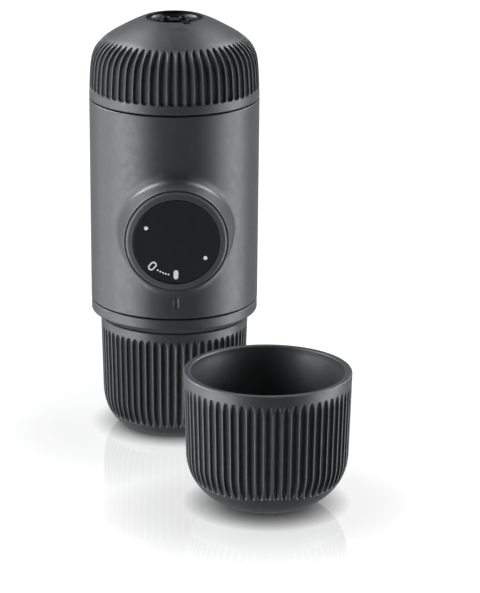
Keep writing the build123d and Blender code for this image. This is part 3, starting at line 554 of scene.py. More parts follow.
def pill(radius: float, half_length: float, steps: int) -> list[Point]:
    """Outline of an upright pill.

    Args:
        radius: Radius of its round ends.
        half_length: Distance of their centres from its middle.
        steps: Lengths that each round end is made of.

    Returns:
        The outline's points.
    """
    line = []
    for centre, start in ((half_length, 0.0), (-half_length, math.pi)):
        angles = (start + math.pi * n / steps for n in range(steps + 1))
        line += [(radius * math.cos(angle), centre + radius * math.sin(angle)) for angle in angles]
    return line


def smooth_line(points: Sequence[Point], steps: int) -> list[Point]:
    """Draw a smooth line through points.

    Args:
        points: The points that it goes through.
        steps: How many short lengths there are between two of them.

    Returns:
        The line's points.
    """
    spots = [Vector((*point, 0)) for point in points]
    around = zip([spots[0], *spots], [*spots[1:], spots[-1]])
    slopes = [(after - before).normalized() for before, after in around]
    line: list[Point] = [tuple(points[0])]
    for n, (spot, following) in enumerate(zip(spots, spots[1:])):
        reach = (following - spot).length / 3
        knots = (spot, spot + slopes[n] * reach, following - slopes[n + 1] * reach, following)
        line += [(p.x, p.y) for p in interpolate_bezier(*knots, steps + 1)[1:]]
    return line


def between(start: Point, end: Point, shares: Iterable[float]) -> list[Point]:
    """Give the points on the line from one point to another, at shares of its length."""
    return [(start[0] + (end[0] - start[0]) * s, start[1] + (end[1] - start[1]) * s) for s in shares]


def seat(radius: float, angle: float, height: float, lie: Lie = Lie.UPRIGHT) -> Vector:
    """Place a point of a turned piece.

    Args:
        radius: Distance from the piece's own axis.
        angle: Angle round that axis.
        height: Distance along it.
        lie: Which way the axis points.

    Returns:
        The point in the machine's frame.
    """
    across, up = radius * math.cos(angle), radius * math.sin(angle)
    place = (across, up, height) if lie is Lie.UPRIGHT else (across, -height, PUMP_HEIGHT + up)
    return Vector(place)


def smooth(mesh: bpy.types.Mesh) -> None:
    """Shade a mesh smooth and keep its sharp edges."""
    mesh.shade_smooth()
    mesh.set_sharp_from_angle(angle=SHARP_ANGLE)


def even(piece: Piece) -> Piece:
    """Keep a piece's broad faces flat beside their rounded edges, and give the piece."""
    piece.modifiers.new("even_shading", "WEIGHTED_NORMAL").keep_sharp = True
    return piece


@dataclass
class Moulding:
    """Points and faces of one piece, before it becomes a Blender object."""

    points: list[Vector] = field(default_factory=list)
    faces: list[tuple[int, ...]] = field(default_factory=list)
    hollows: dict[int, float] = field(default_factory=dict)

    def row(self, points: Iterable[Vector]) -> list[int]:
        """Add a row of points.

        Args:
            points: The points.

        Returns:
            Their numbers.
        """
        first = len(self.points)
        self.points.extend(points)
        return list(range(first, len(self.points)))

    def ring(self, spot: Point, angles: Sequence[float], lie: Lie = Lie.UPRIGHT) -> list[int]:
        """Add a row of points round an axis, or one point if its spot is on the axis."""
        spokes = angles if spot[0] > ON_AXIS else [0.0]
        return self.row(seat(spot[0], angle, spot[1], lie) for angle in spokes)

    def loft(self, rows: Sequence[Sequence[int]], wrap: bool = True, loop: bool = False,
             cap: bool = False) -> None:
        """Join rows with faces; a row of one point makes a fan.

        Args:
            rows: The rows in order.
            wrap: Whether a row's last point joins its first.
            loop: Whether the last row joins the first.
            cap: Whether the first and the last row each get a face.
        """
        for lower, upper in zip(rows, [*rows[1:], *(rows[:1] if loop else [])]):
            count = max(len(lower), len(upper))
            for n in range(count if wrap else count - 1):
                m = (n + 1) % count
                start = lower if len(lower) == 1 else (lower[n], lower[m])
                end = upper if len(upper) == 1 else (upper[m], upper[n])
                self.faces.append((*start, *end))
        if cap:
            self.faces += [tuple(rows[0]), tuple(reversed(rows[-1]))]

    def turn(self, corners: Sequence[Corner], columns: int, lie: Lie = Lie.UPRIGHT) -> "Moulding":
        """Add a turned solid.

        Args:
            corners: Its outline's corners; one that starts on the axis ends there too.
            columns: How many columns it has round its axis.
            lie: Which way its axis points.

        Returns:
            The moulding itself.
        """
        angles = [TURN * n / columns for n in range(columns)]
        rows = [self.ring(spot, angles, lie) for spot in rounded(corners)]
        self.loft(rows, loop=corners[0][0] > ON_AXIS)
        return self

    def add(self, other: "Moulding", shift: Vector = Vector()) -> None:
        """Add another moulding.

        Args:
            other: The other moulding.
            shift: How far it is moved.
        """
        first = len(self.points)
        self.points += [point + shift for point in other.points]
        self.faces += [tuple(first + n for n in face) for face in other.faces]

    def piece(self, name: str, place: Point = (0, 0)) -> Piece:
        """Make the Blender object.

        Args:
            name: Name of the piece.
            place: Where its own axis stands, as (x, y).

        Returns:
            The object, shaded smooth, with its sharp edges kept.
        """
        mesh = bpy.data.meshes.new(name)
        shift = Vector((*place, 0))
        mesh.from_pydata([tuple((point + shift) * MM) for point in self.points], [], self.faces)
        soup = bmesh.new()
        soup.from_mesh(mesh)
        bmesh.ops.recalc_face_normals(soup, faces=soup.faces)
        soup.to_mesh(mesh)
        soup.free()
        if self.hollows:
            layer = mesh.attributes.new(HOLLOW, "FLOAT", "POINT")
            for n, depth in self.hollows.items():
                layer.data[n].value = depth
        smooth(mesh)
        made = bpy.data.objects.new(name, mesh)
        bpy.context.scene.collection.objects.link(made)
        return made


def turned(name: str, corners: Sequence[Corner], columns: int, lie: Lie = Lie.UPRIGHT,
           place: Point = (0, 0)) -> Piece:
    """Make a turned piece from the corners of its outline."""
    return even(Moulding().turn(corners, columns, lie).piece(name, place))


def cut(piece: Piece, tool: Piece) -> None:
    """Take one solid out of another and drop the tool.

    Args:
        piece: The solid that is cut.
        tool: The solid that is taken out.
    """
    change = piece.modifiers.new("cut", "BOOLEAN")
    change.operation, change.solver, change.object = "DIFFERENCE", "EXACT", tool
    mesh = bpy.data.meshes.new_from_object(piece.evaluated_get(bpy.context.evaluated_depsgraph_get()))
    piece.modifiers.remove(change)
    old, piece.data = piece.data, mesh
    smooth(mesh)
    bpy.data.meshes.remove(old)
    bpy.data.objects.remove(tool)
    mesh.name = piece.name


def dress(piece: Piece, look: Coat, nodes: Sequence[str]) -> None:
    """Give a piece its finish, and hide the nodes of the frame that it stands for.

    Args:
        piece: The piece.
        look: Its finish.
        nodes: The nodes of the frame that it stands for.
    """
    piece.data.materials.clear()
    piece.data.materials.append(look.material)
    if nodes:
        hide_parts(*nodes)


def stand(piece: Piece, body: str, look: Coat, *nodes: str) -> None:
    """Dress a piece and give it its place among the machine's bodies.

    Args:
        piece: The piece.
        body: The body that it rides on.
        look: Its finish.
        nodes: The nodes of the frame that it stands for.
    """
    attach(piece, body)
    dress(piece, look, nodes)
    LOG.info("built %s for %s on %s", piece.name, ", ".join(nodes) or "detail", body)


def stretch(piece: Piece, bodies: tuple[str, str], ends: tuple[Vector, Vector], look: Coat,
            node: str) -> None:
    """Dress a spring whose two ends follow two bodies.

    Args:
        piece: The spring.
        bodies: The bodies at its first and its last end.
        ends: Those ends; not used.
        look: Its finish.
        node: The node of the frame that it stands for.
    """
    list(bodies)
    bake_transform(piece)
    dress(piece, look, [node])
    LOG.info("built %s for %s between %s and %s", piece.name, node, *bodies)


@dataclass
class Assembly:
    """Group of pieces that is built and dressed together."""

    finishes: Finishes


# --------------------------------------------------------------------------- ribbed pieces


@dataclass(frozen=True)
class Flutes:
    """Rounded flutes with narrow beaded ribs between them, cut into a turned wall."""

    count: int = 60
    crest_share: float = 0.18
    depth: float = 1.2
    crown: float = 0.14
    low_end: float = 2.6
    high_end: float = 2.6
    squareness: float = 3.2
    taper: float = 1.8
    fullness: float = 0.58
    phase: float = 0.0
    flute_marks: tuple[float, ...] = (0.96, 0.86, 0.66, 0.36)
    crest_marks: tuple[float, ...] = (0.6, 1.0)
    end_marks: tuple[float, ...] = (1.0, 0.95, 0.87, 0.75, 0.58, 0.38, 0.18, 0.0)

    @property
    def columns(self) -> list[float]:
        """Places in one pitch at which a row has a point.

        Returns:
            Shares of the pitch, from the middle of a rib.
        """
        crest = self.crest_share / 2
        half = 0.5 - crest
        flute = [0.5 - half * x for x in (*self.flute_marks, 0.0)]
        flute += [0.5 + half * x for x in reversed(self.flute_marks)]
        bead = [crest * x for x in self.crest_marks]
        return [0.0, *bead, *flute, *(1 - x for x in reversed(bead))]

    def stations(self, length: float, middle: float) -> list[float]:
        """Distances along the ribbed stretch at which it has a row of points.

        Args:
            length: Length of the stretch.
            middle: Longest step between two rows away from the ends.

        Returns:
            The distances, from its lower end.
        """
        low = [self.low_end * (1 - y) for y in self.end_marks]
        high = [length - self.high_end * (1 - y) for y in reversed(self.end_marks)]
        gaps = max(1, math.ceil((high[0] - low[-1]) / middle))
        return low + [low[-1] + (high[0] - low[-1]) * n / gaps for n in range(1, gaps)] + high

    def sink(self, share: float, along: float, length: float) -> float:
        """Depth of the surface under the plain wall.

        Args:
            share: Place in the pitch, from the middle of a rib.
            along: Distance from the lower end of the ribbed stretch.
            length: Length of the stretch.

        Returns:
            The depth.
        """
        aside, crest = min(share, 1 - share), self.crest_share / 2
        end = min(1.0, max(0.0, 1 - along / self.low_end, 1 - (length - along) / self.high_end))
        fall = self.crown * (1 - end**self.taper) * min(1.0, aside / crest) ** 2
        if aside <= crest:
            return fall
        across = (0.5 - aside) / (0.5 - crest)
        room = max(0.0, 1 - (across**2 + end**self.taper) ** (self.squareness / 2))
        return fall + (self.depth - self.crown) * room**self.fullness


@dataclass(frozen=True)
class Track:
    """An outline measured along its length."""

    points: tuple[Point, ...]

    @property
    def marks(self) -> list[float]:
        """Measure how far every point is from the first.

        Returns:
            The distances along the outline.
        """
        marks = [0.0]
        for before, after in zip(self.points, self.points[1:]):
            marks.append(marks[-1] + math.dist(before, after))
        return marks

    def at(self, distance: float) -> tuple[Point, Point]:
        """Find a place on the outline.

        Args:
            distance: Distance from its first point.

        Returns:
            The place, and the normal that points out of the wall there.
        """
        marks = self.marks
        n = max(k for k in range(len(marks) - 1) if marks[k] <= distance + HAIR or k == 0)
        share = (distance - marks[n]) / (marks[n + 1] - marks[n])
        slope = (self._slope(n) * (1 - share) + self._slope(n + 1) * share).normalized()
        spot = Vector(self.points[n]).lerp(Vector(self.points[n + 1]), share)
        return tuple(spot), (slope.y, -slope.x)

    def _slope(self, n: int) -> Vector:
        """Direction of the outline at one of its points."""
        last = len(self.points) - 1
        return (Vector(self.points[min(n + 1, last)]) - Vector(self.points[max(n - 1, 0)])).normalized()

    def find(self, height: float) -> float:
        """Find where a rising outline passes a height.

        Args:
            height: The height.

        Returns:
            The distance from the outline's first point.
        """
        marks = self.marks
        for n, (before, after) in enumerate(zip(self.points, self.points[1:])):
            if before[1] <= height <= after[1]:
                return marks[n] + (marks[n + 1] - marks[n]) * (height - before[1]) / (after[1] - before[1])
        return marks[-1]


@dataclass(frozen=True)
class PotShape:
    """Drafted pot with an elliptic corner round its flat base."""

    radius: float
    top: float
    draft: float
    corner: Point
    base: float = 0.0

    def outline(self, steps: int) -> list[Point]:
        """Draw the wall.

        Args:
            steps: How many lengths its bend is made of.

        Returns:
            Points from the axis over the base and up the bend.
        """
        across, up = self.corner
        bend = self.radius - self.draft * (self.top - self.base - up) - across
        turns = (math.pi / 2 * n / steps for n in range(steps + 1))
        wall = ((bend + across * math.sin(turn), self.base + up * (1 - math.cos(turn))) for turn in turns)
        return [(0.0, self.base), *wall]

    def inset(self, wall: float, top: float) -> "PotShape":
        """Give the pot that is one wall smaller, up to another height."""
        radius, corner = self.radius - wall - self.draft * (self.top - top), (c - wall for c in self.corner)
        return PotShape(radius, top, self.draft, tuple(corner), self.base + wall)


@dataclass
class RibbedPart(Assembly):
    """Hollow turned part with flutes in one stretch of its outside."""

    rib_low: float = 0.0
    rib_high: float = 0.0
    step: float = 2.6
    clear: float = 0.2
    bends: tuple[int, int] = (0, 0)
    flutes: Flutes = Flutes()

    def outside(self) -> Track:
        """Outline of the outside, from the bottom up."""
        raise NotImplementedError

    def inside(self) -> list[Point]:
        """The rest of the closed outline, from the outside's end back to its start."""
        raise NotImplementedError

    def moulding(self) -> Moulding:
        """Build the part, and note the depth of its flutes for its finish, which makes them rougher and
        paints shade into them.

        Returns:
            The moulding.
        """
        made, outside, inside, flutes = Moulding(), self.outside(), self.inside(), self.flutes
        start, end = outside.find(self.rib_low), outside.find(self.rib_high)
        stations = [mark for mark in outside.marks if mark < start - self.clear]
        stations += [start + s for s in flutes.stations(end - start, self.step)]
        stations += [mark for mark in outside.marks if mark > end + self.clear]
        shares, turns = flutes.columns, range(flutes.count)
        angles = [TURN / flutes.count * (n + share + flutes.phase) for n in turns for share in shares]
        rows = []
        for station in stations:
            (radius, height), (out, up) = outside.at(station)
            if not start <= station <= end:
                rows.append(made.ring((radius, height), angles))
                continue
            sinks = [flutes.sink(share, station - start, end - start) for share in shares] * flutes.count
            rows.append(made.row(
                seat(radius - out * sink, angle, height - up * sink) for sink, angle in zip(sinks, angles)
            ))
            # Flute depth, which the plastic turns into rougher hollows and painted shade.
            made.hollows.update((n, min(1.0, s / flutes.depth)) for n, s in zip(rows[-1], sinks) if s > 0)
        rows += [made.ring(spot, angles) for spot in inside]
        made.loft(rows, loop=inside[-1][0] > ON_AXIS)
        return made


@dataclass
class Thread:
    """Raised screw thread that runs out at both ends, outside a round wall."""

    root: float
    crest: float
    low: float
    pitch: float = 3.0
    turns: float = 1.6
    width: float = 1.3
    steps: int = 72
    run_out: float = 0.12
    least: float = 0.02
    crest_part: int = 5

    def moulding(self) -> Moulding:
        """Build the thread's ridge.

        Returns:
            The moulding.
        """
        made, rows = Moulding(), []
        total, half, tip = int(self.turns * self.steps), self.width / 2, self.width / self.crest_part
        for n in range(total + 1):
            share = n / total
            rise = max(self.least, min(1.0, share / self.run_out, (1 - share) / self.run_out))
            crest = self.root + (self.crest - self.root) * rise
            middle = self.low + self.pitch * self.turns * share
            corners = ((self.root, -half), (crest, -tip), (crest, tip), (self.root, half))
            rows.append(made.row(seat(r, TURN * n / self.steps, middle + z) for r, z in corners))
        made.loft(rows, cap=True)
        return made


@dataclass
class WaterTank(RibbedPart):
    """Ribbed water tank with its plain band, shoulder and screw neck."""

    rib_low: float = 5.0
    rib_high: float = 38.9
    bends: tuple[int, int] = (28, 14)
    shape: PotShape = PotShape(27.14, 42.0, 0.029, (10.1, 14.4))
    wall: float = 2.0
    edge: float = 0.5
    band_height: float = 14.0
    bevel: float = 0.4
    foot_edge: float = 0.3
    neck_radius: float = 24.7
    neck_top: float = 50.6
    mouth: float = 22.8
    thread: Thread = field(default_factory=lambda: Thread(24.6, 25.05, 44.6))

    def outside(self) -> Track:
        """Draw the outside and the neck.

        Returns:
            The outline from the bottom up, ending at the hollow's top.
        """
        top = rounded([
            (self.shape.radius - self.bevel, self.shape.top - self.band_height),
            (self.shape.radius, self.shape.top, self.edge),
            (self.neck_radius, self.shape.top, self.foot_edge),
            (self.neck_radius, self.neck_top, self.bevel), (self.mouth, self.neck_top, self.bevel),
            (self.mouth, self.shape.top - self.wall),
        ])
        return Track((*self.shape.outline(self.bends[0]), *top))

    def inside(self) -> list[Point]:
        """Draw the hollow.

        Returns:
            The outline from the hollow's top down to the axis.
        """
        pot = self.shape.inset(self.wall, self.shape.top - self.wall)
        corner = [(pot.radius - self.bevel, pot.top), (pot.radius, pot.top - self.bevel)]
        return [*corner, *reversed(pot.outline(self.bends[1]))]

    def build(self) -> None:
        """Build and dress the tank."""
        stand(self.moulding().piece("tank_moulding"), "tank", self.finishes.body, "water_tank")
        stand(self.thread.moulding().piece("tank_neck_thread"), "tank", self.finishes.body)


@dataclass
class Cup(RibbedPart):
    """Ribbed cup that stands beside the machine, open at the top."""

    rib_low: float = 9.4
    rib_high: float = 44.6
    bends: tuple[int, int] = (30, 22)
    flutes: Flutes = Flutes(crest_share=0.21, low_end=3.6, high_end=3.8, taper=1.4, phase=0.2)
    shape: PotShape = PotShape(29.2, 48.2, 0.032, (20.1, 18.7))
    place: Point = (30.6, -86.9)
    wall: float = 2.4
    lip: float = 0.6
    band_height: float = 14.0
    bevel: float = 0.45
    ledge_drop: float = 2.6
    ledge: float = 0.12
    ledge_height: float = 0.2
    rim_draft: float = 0.1

    def outside(self) -> Track:
        """Draw the outside and the rim.

        Returns:
            The outline from the bottom up, ending at the fine ledge under the rim.
        """
        inner = self.shape.radius - self.wall
        top = rounded([
            (self.shape.radius - self.bevel, self.shape.top - self.band_height),
            (self.shape.radius, self.shape.top, self.lip, 6), (inner, self.shape.top, self.lip, 6),
            (inner - self.rim_draft, self.shape.top - self.ledge_drop),
        ])
        return Track((*self.shape.outline(self.bends[0]), *top))

    def inside(self) -> list[Point]:
        """Outline of the hollow, from the ledge down to the axis."""
        pot = self.shape.inset(self.wall + self.ledge, self.shape.top - self.ledge_drop)
        return [(pot.radius, pot.top - self.ledge_height), *reversed(pot.outline(self.bends[1]))]

    def build(self) -> None:
        """Build and dress the cup."""
        stand(self.moulding().piece("cup_moulding", self.place), "cup", self.finishes.cup, "cup")


@dataclass
class OutletDome(RibbedPart):
    """Ribbed dome of the outlet head, open at the top for the spout."""

    rib_low: float = 127.9
    rib_high: float = 146.9
    step: float = 1.6
    flutes: Flutes = Flutes(crest_share=0.14, crown=0.1, low_end=1.4, high_end=4.6, taper=2.0)
    knots: tuple[Point, ...] = (
        (30.98, 124.9), (30.90, 128.0), (30.81, 130.6), (30.65, 134.0), (30.28, 138.0), (29.57, 141.0),
        (27.77, 144.0), (24.21, 147.0), (20.03, 149.5), (16.36, 151.5), (13.22, 153.0), (11.3, 153.78),
    )
    foot: Point = (30.9, 124.75)
    lip: tuple[Point, ...] = ((10.8, 153.86), (10.48, 153.86), (10.32, 153.72))
    bore_low: float = 151.6
    wall: float = 2.4
    hollow_least: float = 11.5
    foot_bore: Point = (28.6, 28.8)
    foot_edge: float = 0.2

    def line(self) -> list[Point]:
        """Draw the smooth curve from the foot to the lip."""
        return smooth_line(self.knots, 4)

    def outside(self) -> Track:
        """Outline of the outside, from the foot to the lip."""
        return Track((self.foot, *self.line(), *self.lip))

    def inside(self) -> list[Point]:
        """Draw the hollow.

        Returns:
            The outline from the bore down to the foot.
        """
        track = Track(tuple(self.line()))
        line = [(self.lip[-1][0], self.bore_low)]
        for distance in (mark for mark in reversed(track.marks[::3]) if mark > 1):
            (radius, height), (out, up) = track.at(distance)
            if radius - out * self.wall > self.hollow_least:
                line.append((radius - out * self.wall, height - up * self.wall))
        inner, outer = self.foot_bore
        return [*line, (inner, self.foot[1] + self.foot_edge), (outer, self.foot[1])]

    def build(self) -> None:
        """Build and dress the dome."""
        stand(self.moulding().piece("dome_moulding"), "head", self.finishes.body, "outlet_dome")


# --------------------------------------------------------------------------- the body


@dataclass
class BodyShell(Assembly):
    """Outer tube of the body with the round boss that flows out of its front.

    A place on the tube is its turn from the front and its height.
    """

    low: float = 48.9
    high: float = 124.1
    foot_radius: float = 30.6
    head_radius: float = 31.0
    bore: float = 28.5
    edge: float = 0.4
    edge_steps: int = 3
    boss_radius: float = 18.95
    boss_draft: float = math.radians(6.8)
    boss_back: float = 34.4
    crown_front: float = 38.8
    crown_round: float = 0.56
    crown_start: float = 0.1
    blend: float = 4.4
    blend_steps: int = 10
    knob_bore: float = 18.22
    bore_lip: Point = (0.08, 0.03)
    bore_land: float = 0.2
    sleeve_bore: float = 19.3
    front_turn: float = math.radians(78)
    spokes: int = 160
    rings: int = 14
    inner_rings: int = 5
    back_steps: int = 44
    search: int = 300
    halvings: int = 30
    mark_size: Point = (2.1, 4.5)
    mark_height: float = 55.0
    mark_depth: float = 0.32
    mark_slope: float = 0.42
    mark_floor: float = 0.4
    mark_gap: float = 0.002
    mark_back: float = 1.1
    mark_steps: int = 6
    mark_bends: int = 14
    tool_reach: Point = (1.2, -2.0)
    mean_radius: float = 30.0

    def radius(self, height: float) -> float:
        """Radius of the outside at a height."""
        share = (height - self.low) / (self.high - self.low)
        return self.foot_radius + (self.head_radius - self.foot_radius) * share

    def on_wall(self, radius: float, turn: float, height: float) -> Vector:
        """Point of an upright wall at a place."""
        return Vector((radius * math.sin(turn), -radius * math.cos(turn), height))

    def wall_depth(self, across: float, height: float) -> float:
        """Distance of the outside in front of the machine's axis."""
        return math.sqrt(self.radius(height) ** 2 - across**2)

    def boss_spoke(self, angle: float) -> tuple[list[Vector], Point]:
        """Run down the boss and its blend in one direction, as a ball would that rolls in the corner.

        Args:
            angle: Direction round the pump's axis.

        Returns:
            The points from the boss's front edge to where the blend meets the tube, and that
            last place.
        """
        across, up = math.cos(angle), math.sin(angle)
        slope, lean = math.tan(self.boss_draft), self.blend / math.cos(self.boss_draft)
        spans = [self.boss_radius + 2 * self.blend * n / self.search for n in range(self.search + 1)]
        wall = [Vector((span, self.wall_depth(span * across, PUMP_HEIGHT + span * up))) for span in spans]
        low, high = min(spot.y for spot in wall), self.crown_front + self.blend
        for _ in range(self.halvings):
            depth = (low + high) / 2
            centre = Vector((self.boss_radius + (self.crown_front - depth) * slope + lean, depth))
            touch = min(wall, key=lambda spot: (spot - centre).length)
            low, high = (low, depth) if (touch - centre).length > self.blend else (depth, high)
        profile = rounded([
            (self.knob_bore, self.crown_front), (self.knob_bore + self.crown_start, self.crown_front),
            (self.boss_radius, self.crown_front, self.crown_round, 5),
            (self.boss_radius + slope, self.crown_front - 1.0),
        ])[1:-1]
        first, steps = math.pi + self.boss_draft, self.blend_steps
        last = math.atan2(touch.y - centre.y, touch.x - centre.x) % TURN
        for a in (first + (last - first) * n / steps for n in range(steps + 1)):
            profile.append((centre.x + self.blend * math.cos(a), centre.y + self.blend * math.sin(a)))
        points = [Vector((r * across, -d, PUMP_HEIGHT + r * up)) for r, d in profile]
        end = points[-1]
        return points, (math.asin(max(-1.0, min(1.0, end.x / self.radius(end.z)))), end.z)

    def panel_edge(self, start: Point) -> Point:
        """Find where a line from the boss's middle leaves the front panel.

        Args:
            start: A place that the line goes through.

        Returns:
            The place where it leaves.
        """
        mean = (self.foot_radius + self.head_radius) / 2
        across, up = start[0] * mean, start[1] - PUMP_HEIGHT
        options = [self.front_turn * mean / abs(across)] if abs(across) > NEAR else []
        if abs(up) > NEAR:
            options.append(((self.high - self.edge if up > 0 else self.low + self.edge) - PUMP_HEIGHT) / up)
        return across * min(options) / mean, PUMP_HEIGHT + up * min(options)

    def column(self, angle: float, points: list[Vector], start: Point, end: Point) -> list[Vector]:
        """Run from the bore's edge through the boss's hole and over the front panel.

        Args:
            angle: Direction round the pump's axis.
            points: Points of the boss in that direction.
            start: Place where the boss ends.
            end: Place where the panel ends.

        Returns:
            The points in order.
        """
        across, up = math.cos(angle), math.sin(angle)
        bore_x, bore_z = self.sleeve_bore * across, PUMP_HEIGHT + self.sleeve_bore * up
        bore_place = (math.asin(bore_x / self.bore), bore_z)
        shares = [k / self.inner_rings for k in range(self.inner_rings, -1, -1)]
        inner = [self.on_wall(self.bore, *place) for place in between(bore_place, end, shares)]
        lip, rim = self.knob_bore, self.crown_front
        hole = [
            (self.sleeve_bore, self.boss_back), (lip, self.boss_back), (lip, rim - self.bore_land),
            (lip + self.bore_lip[0], rim - self.bore_lip[1]),
        ]
        edge = [Vector((r * across, -forward, PUMP_HEIGHT + r * up)) for r, forward in hole]
        places = between(start, end, [k / self.rings for k in range(1, self.rings + 1)])
        outer = [self.on_wall(self.radius(height), turn, height) for turn, height in places]
        return [*inner, *edge, *points, *outer]

    def build(self) -> None:
        """Build and dress the shell and its index mark."""
        made, count = Moulding(), range(self.spokes)
        angles = [TURN * n / self.spokes for n in count]
        spokes = [self.boss_spoke(angle) for angle in angles]
        ends = [self.panel_edge(start) for _, start in spokes]
        heights = (self.low + self.edge, self.high - self.edge)
        for corner in ((turn, height) for turn in (self.front_turn, -self.front_turn) for height in heights):
            gaps = [math.hypot((end[0] - corner[0]) * self.mean_radius, end[1] - corner[1]) for end in ends]
            ends[gaps.index(min(gaps))] = corner
        columns = [made.row(self.column(angles[n], *spokes[n], ends[n])) for n in count]
        made.loft(columns, wrap=False, loop=True)
        self._back(made, columns, ends, heights)
        shell = made.piece("shell_moulding")
        tool = Moulding()
        tool.loft([tool.row(self._mark(0.0, sink)) for sink in self.tool_reach], cap=True)
        cut(shell, tool.piece("mark_tool"))
        stand(even(shell), "main_body", self.finishes.body, "body_shell")
        stand(self._dish().piece("index_dish"), "main_body", self.finishes.body)

    def _back(self, made: Moulding, columns: list[list[int]], ends: list[Point], heights: Point) -> None:
        """Close the tube round the back and round off its two ends.

        Args:
            made: The shell's moulding.
            columns: Rows of the front panel, from the inside to the outside.
            ends: Places where they end.
            heights: Heights between which the wall is plain.
        """
        right, left = (
            sorted((n for n, end in enumerate(ends) if abs(end[0] - turn) < NEAR), key=lambda n: ends[n][1])
            for turn in (self.front_turn, -self.front_turn)
        )
        sweep = TURN - 2 * self.front_turn
        backs = [self.front_turn + sweep * k / self.back_steps for k in range(1, self.back_steps)]
        walls: dict[int, list[list[int]]] = {-1: [], 0: []}
        for side, rows in walls.items():
            for a, b in zip(right, left):
                height = ends[a][1]
                radius = self.radius(height) if side else self.bore
                middle = made.row(self.on_wall(radius, turn, height) for turn in backs)
                rows.append([columns[a][side], *middle, columns[b][side]])
            made.loft(rows, wrap=False)
        quarter = [math.pi / 2 * n / self.edge_steps for n in range(self.edge_steps + 1)]
        for height, last, way in ((heights[1], -1, 1), (heights[0], 0, -1)):
            front = [n for n, end in enumerate(ends) if abs(end[1] - height) < NEAR]
            front.sort(key=lambda n: ends[n][0])
            turns = [ends[n][0] for n in front] + backs
            outer, inner = ([columns[n][side] for n in front] + walls[side][last][1:-1] for side in (-1, 0))
            wide = self.radius(height)
            bends = [(wide - self.edge * (1 - math.cos(a)), math.sin(a)) for a in quarter[1:]]
            bends += [(self.bore + self.edge * (1 - math.sin(a)), math.cos(a)) for a in quarter[:-1]]
            rounds = [
                made.row(self.on_wall(radius, turn, height + way * self.edge * rise) for turn in turns)
                for radius, rise in bends
            ]
            made.loft([outer, *rounds, inner])

    def _mark(self, inset: float, sink: float) -> list[Vector]:
        """Draw the index mark on the wall.

        Args:
            inset: How far its outline is moved inwards.
            sink: How deep it lies under the wall.

        Returns:
            Its outline.
        """
        wide, tall = self.mark_size
        outline = pill(wide / 2 - inset, (tall - wide) / 2, self.mark_bends)
        places = ((x, self.mark_height + z) for x, z in outline)
        return [Vector((x, -self.wall_depth(x, height) + sink, height)) for x, height in places]

    def _dish(self) -> Moulding:
        """Build the shallow dish of the index mark, with its rolled edge.

        Returns:
            The moulding.
        """
        made, shares = Moulding(), [n / self.mark_steps for n in range(self.mark_steps + 1)]
        rows = [made.row(self._mark(0.0, self.mark_back))]
        for share in shares:
            sink = self.mark_depth * (1 - math.cos(math.pi * share)) / 2
            rows.append(made.row(self._mark(self.mark_slope * share + self.mark_gap, sink)))
        rows.append(made.row(self._mark(self.mark_slope + self.mark_floor, self.mark_depth)))
        made.loft(rows, cap=True)
        return made


@dataclass
class BodyTrim(Assembly):
    """Collar under the shell and the dark ring over it."""

    collar_low: float = 42.4
    collar_band: float = 44.7
    collar_high: float = 48.4
    collar_foot: float = 27.2
    collar_head: float = 30.5
    collar_bore: float = 25.3
    collar_seat: float = 27.1
    collar_floor: float = 2.0
    collar_edge: float = 0.4
    collar_bend: float = 0.9
    ring_low: float = 124.275
    ring_high: float = 124.575
    ring_bore: float = 28.5
    ring_radius: float = 30.1
    ring_edge: Corner = (0.1, 3)
    thin_edge: Corner = (0.08, 2)
    columns: int = 180

    def build(self) -> None:
        """Build and dress the collar and the ring."""
        floor = self.collar_low + self.collar_floor
        collar = turned("collar_moulding", [
            (self.collar_bore, self.collar_low), (self.collar_foot, self.collar_low, *self.thin_edge),
            (self.collar_head, self.collar_band, self.collar_bend, 6),
            (self.collar_head, self.collar_high, self.collar_edge, 5),
            (self.collar_seat, self.collar_high), (self.collar_seat, floor), (self.collar_bore, floor),
        ], self.columns)
        stand(collar, "main_body", self.finishes.body, "body_collar")
        ring = turned("seam_band", [
            (self.ring_bore, self.ring_low, *self.thin_edge),
            (self.ring_radius, self.ring_low, *self.ring_edge),
            (self.ring_radius, self.ring_high, *self.ring_edge),
            (self.ring_bore, self.ring_high, *self.thin_edge),
        ], self.columns)
        stand(ring, "seam_ring", self.finishes.black, "seam_ring")


# --------------------------------------------------------------------------- dial


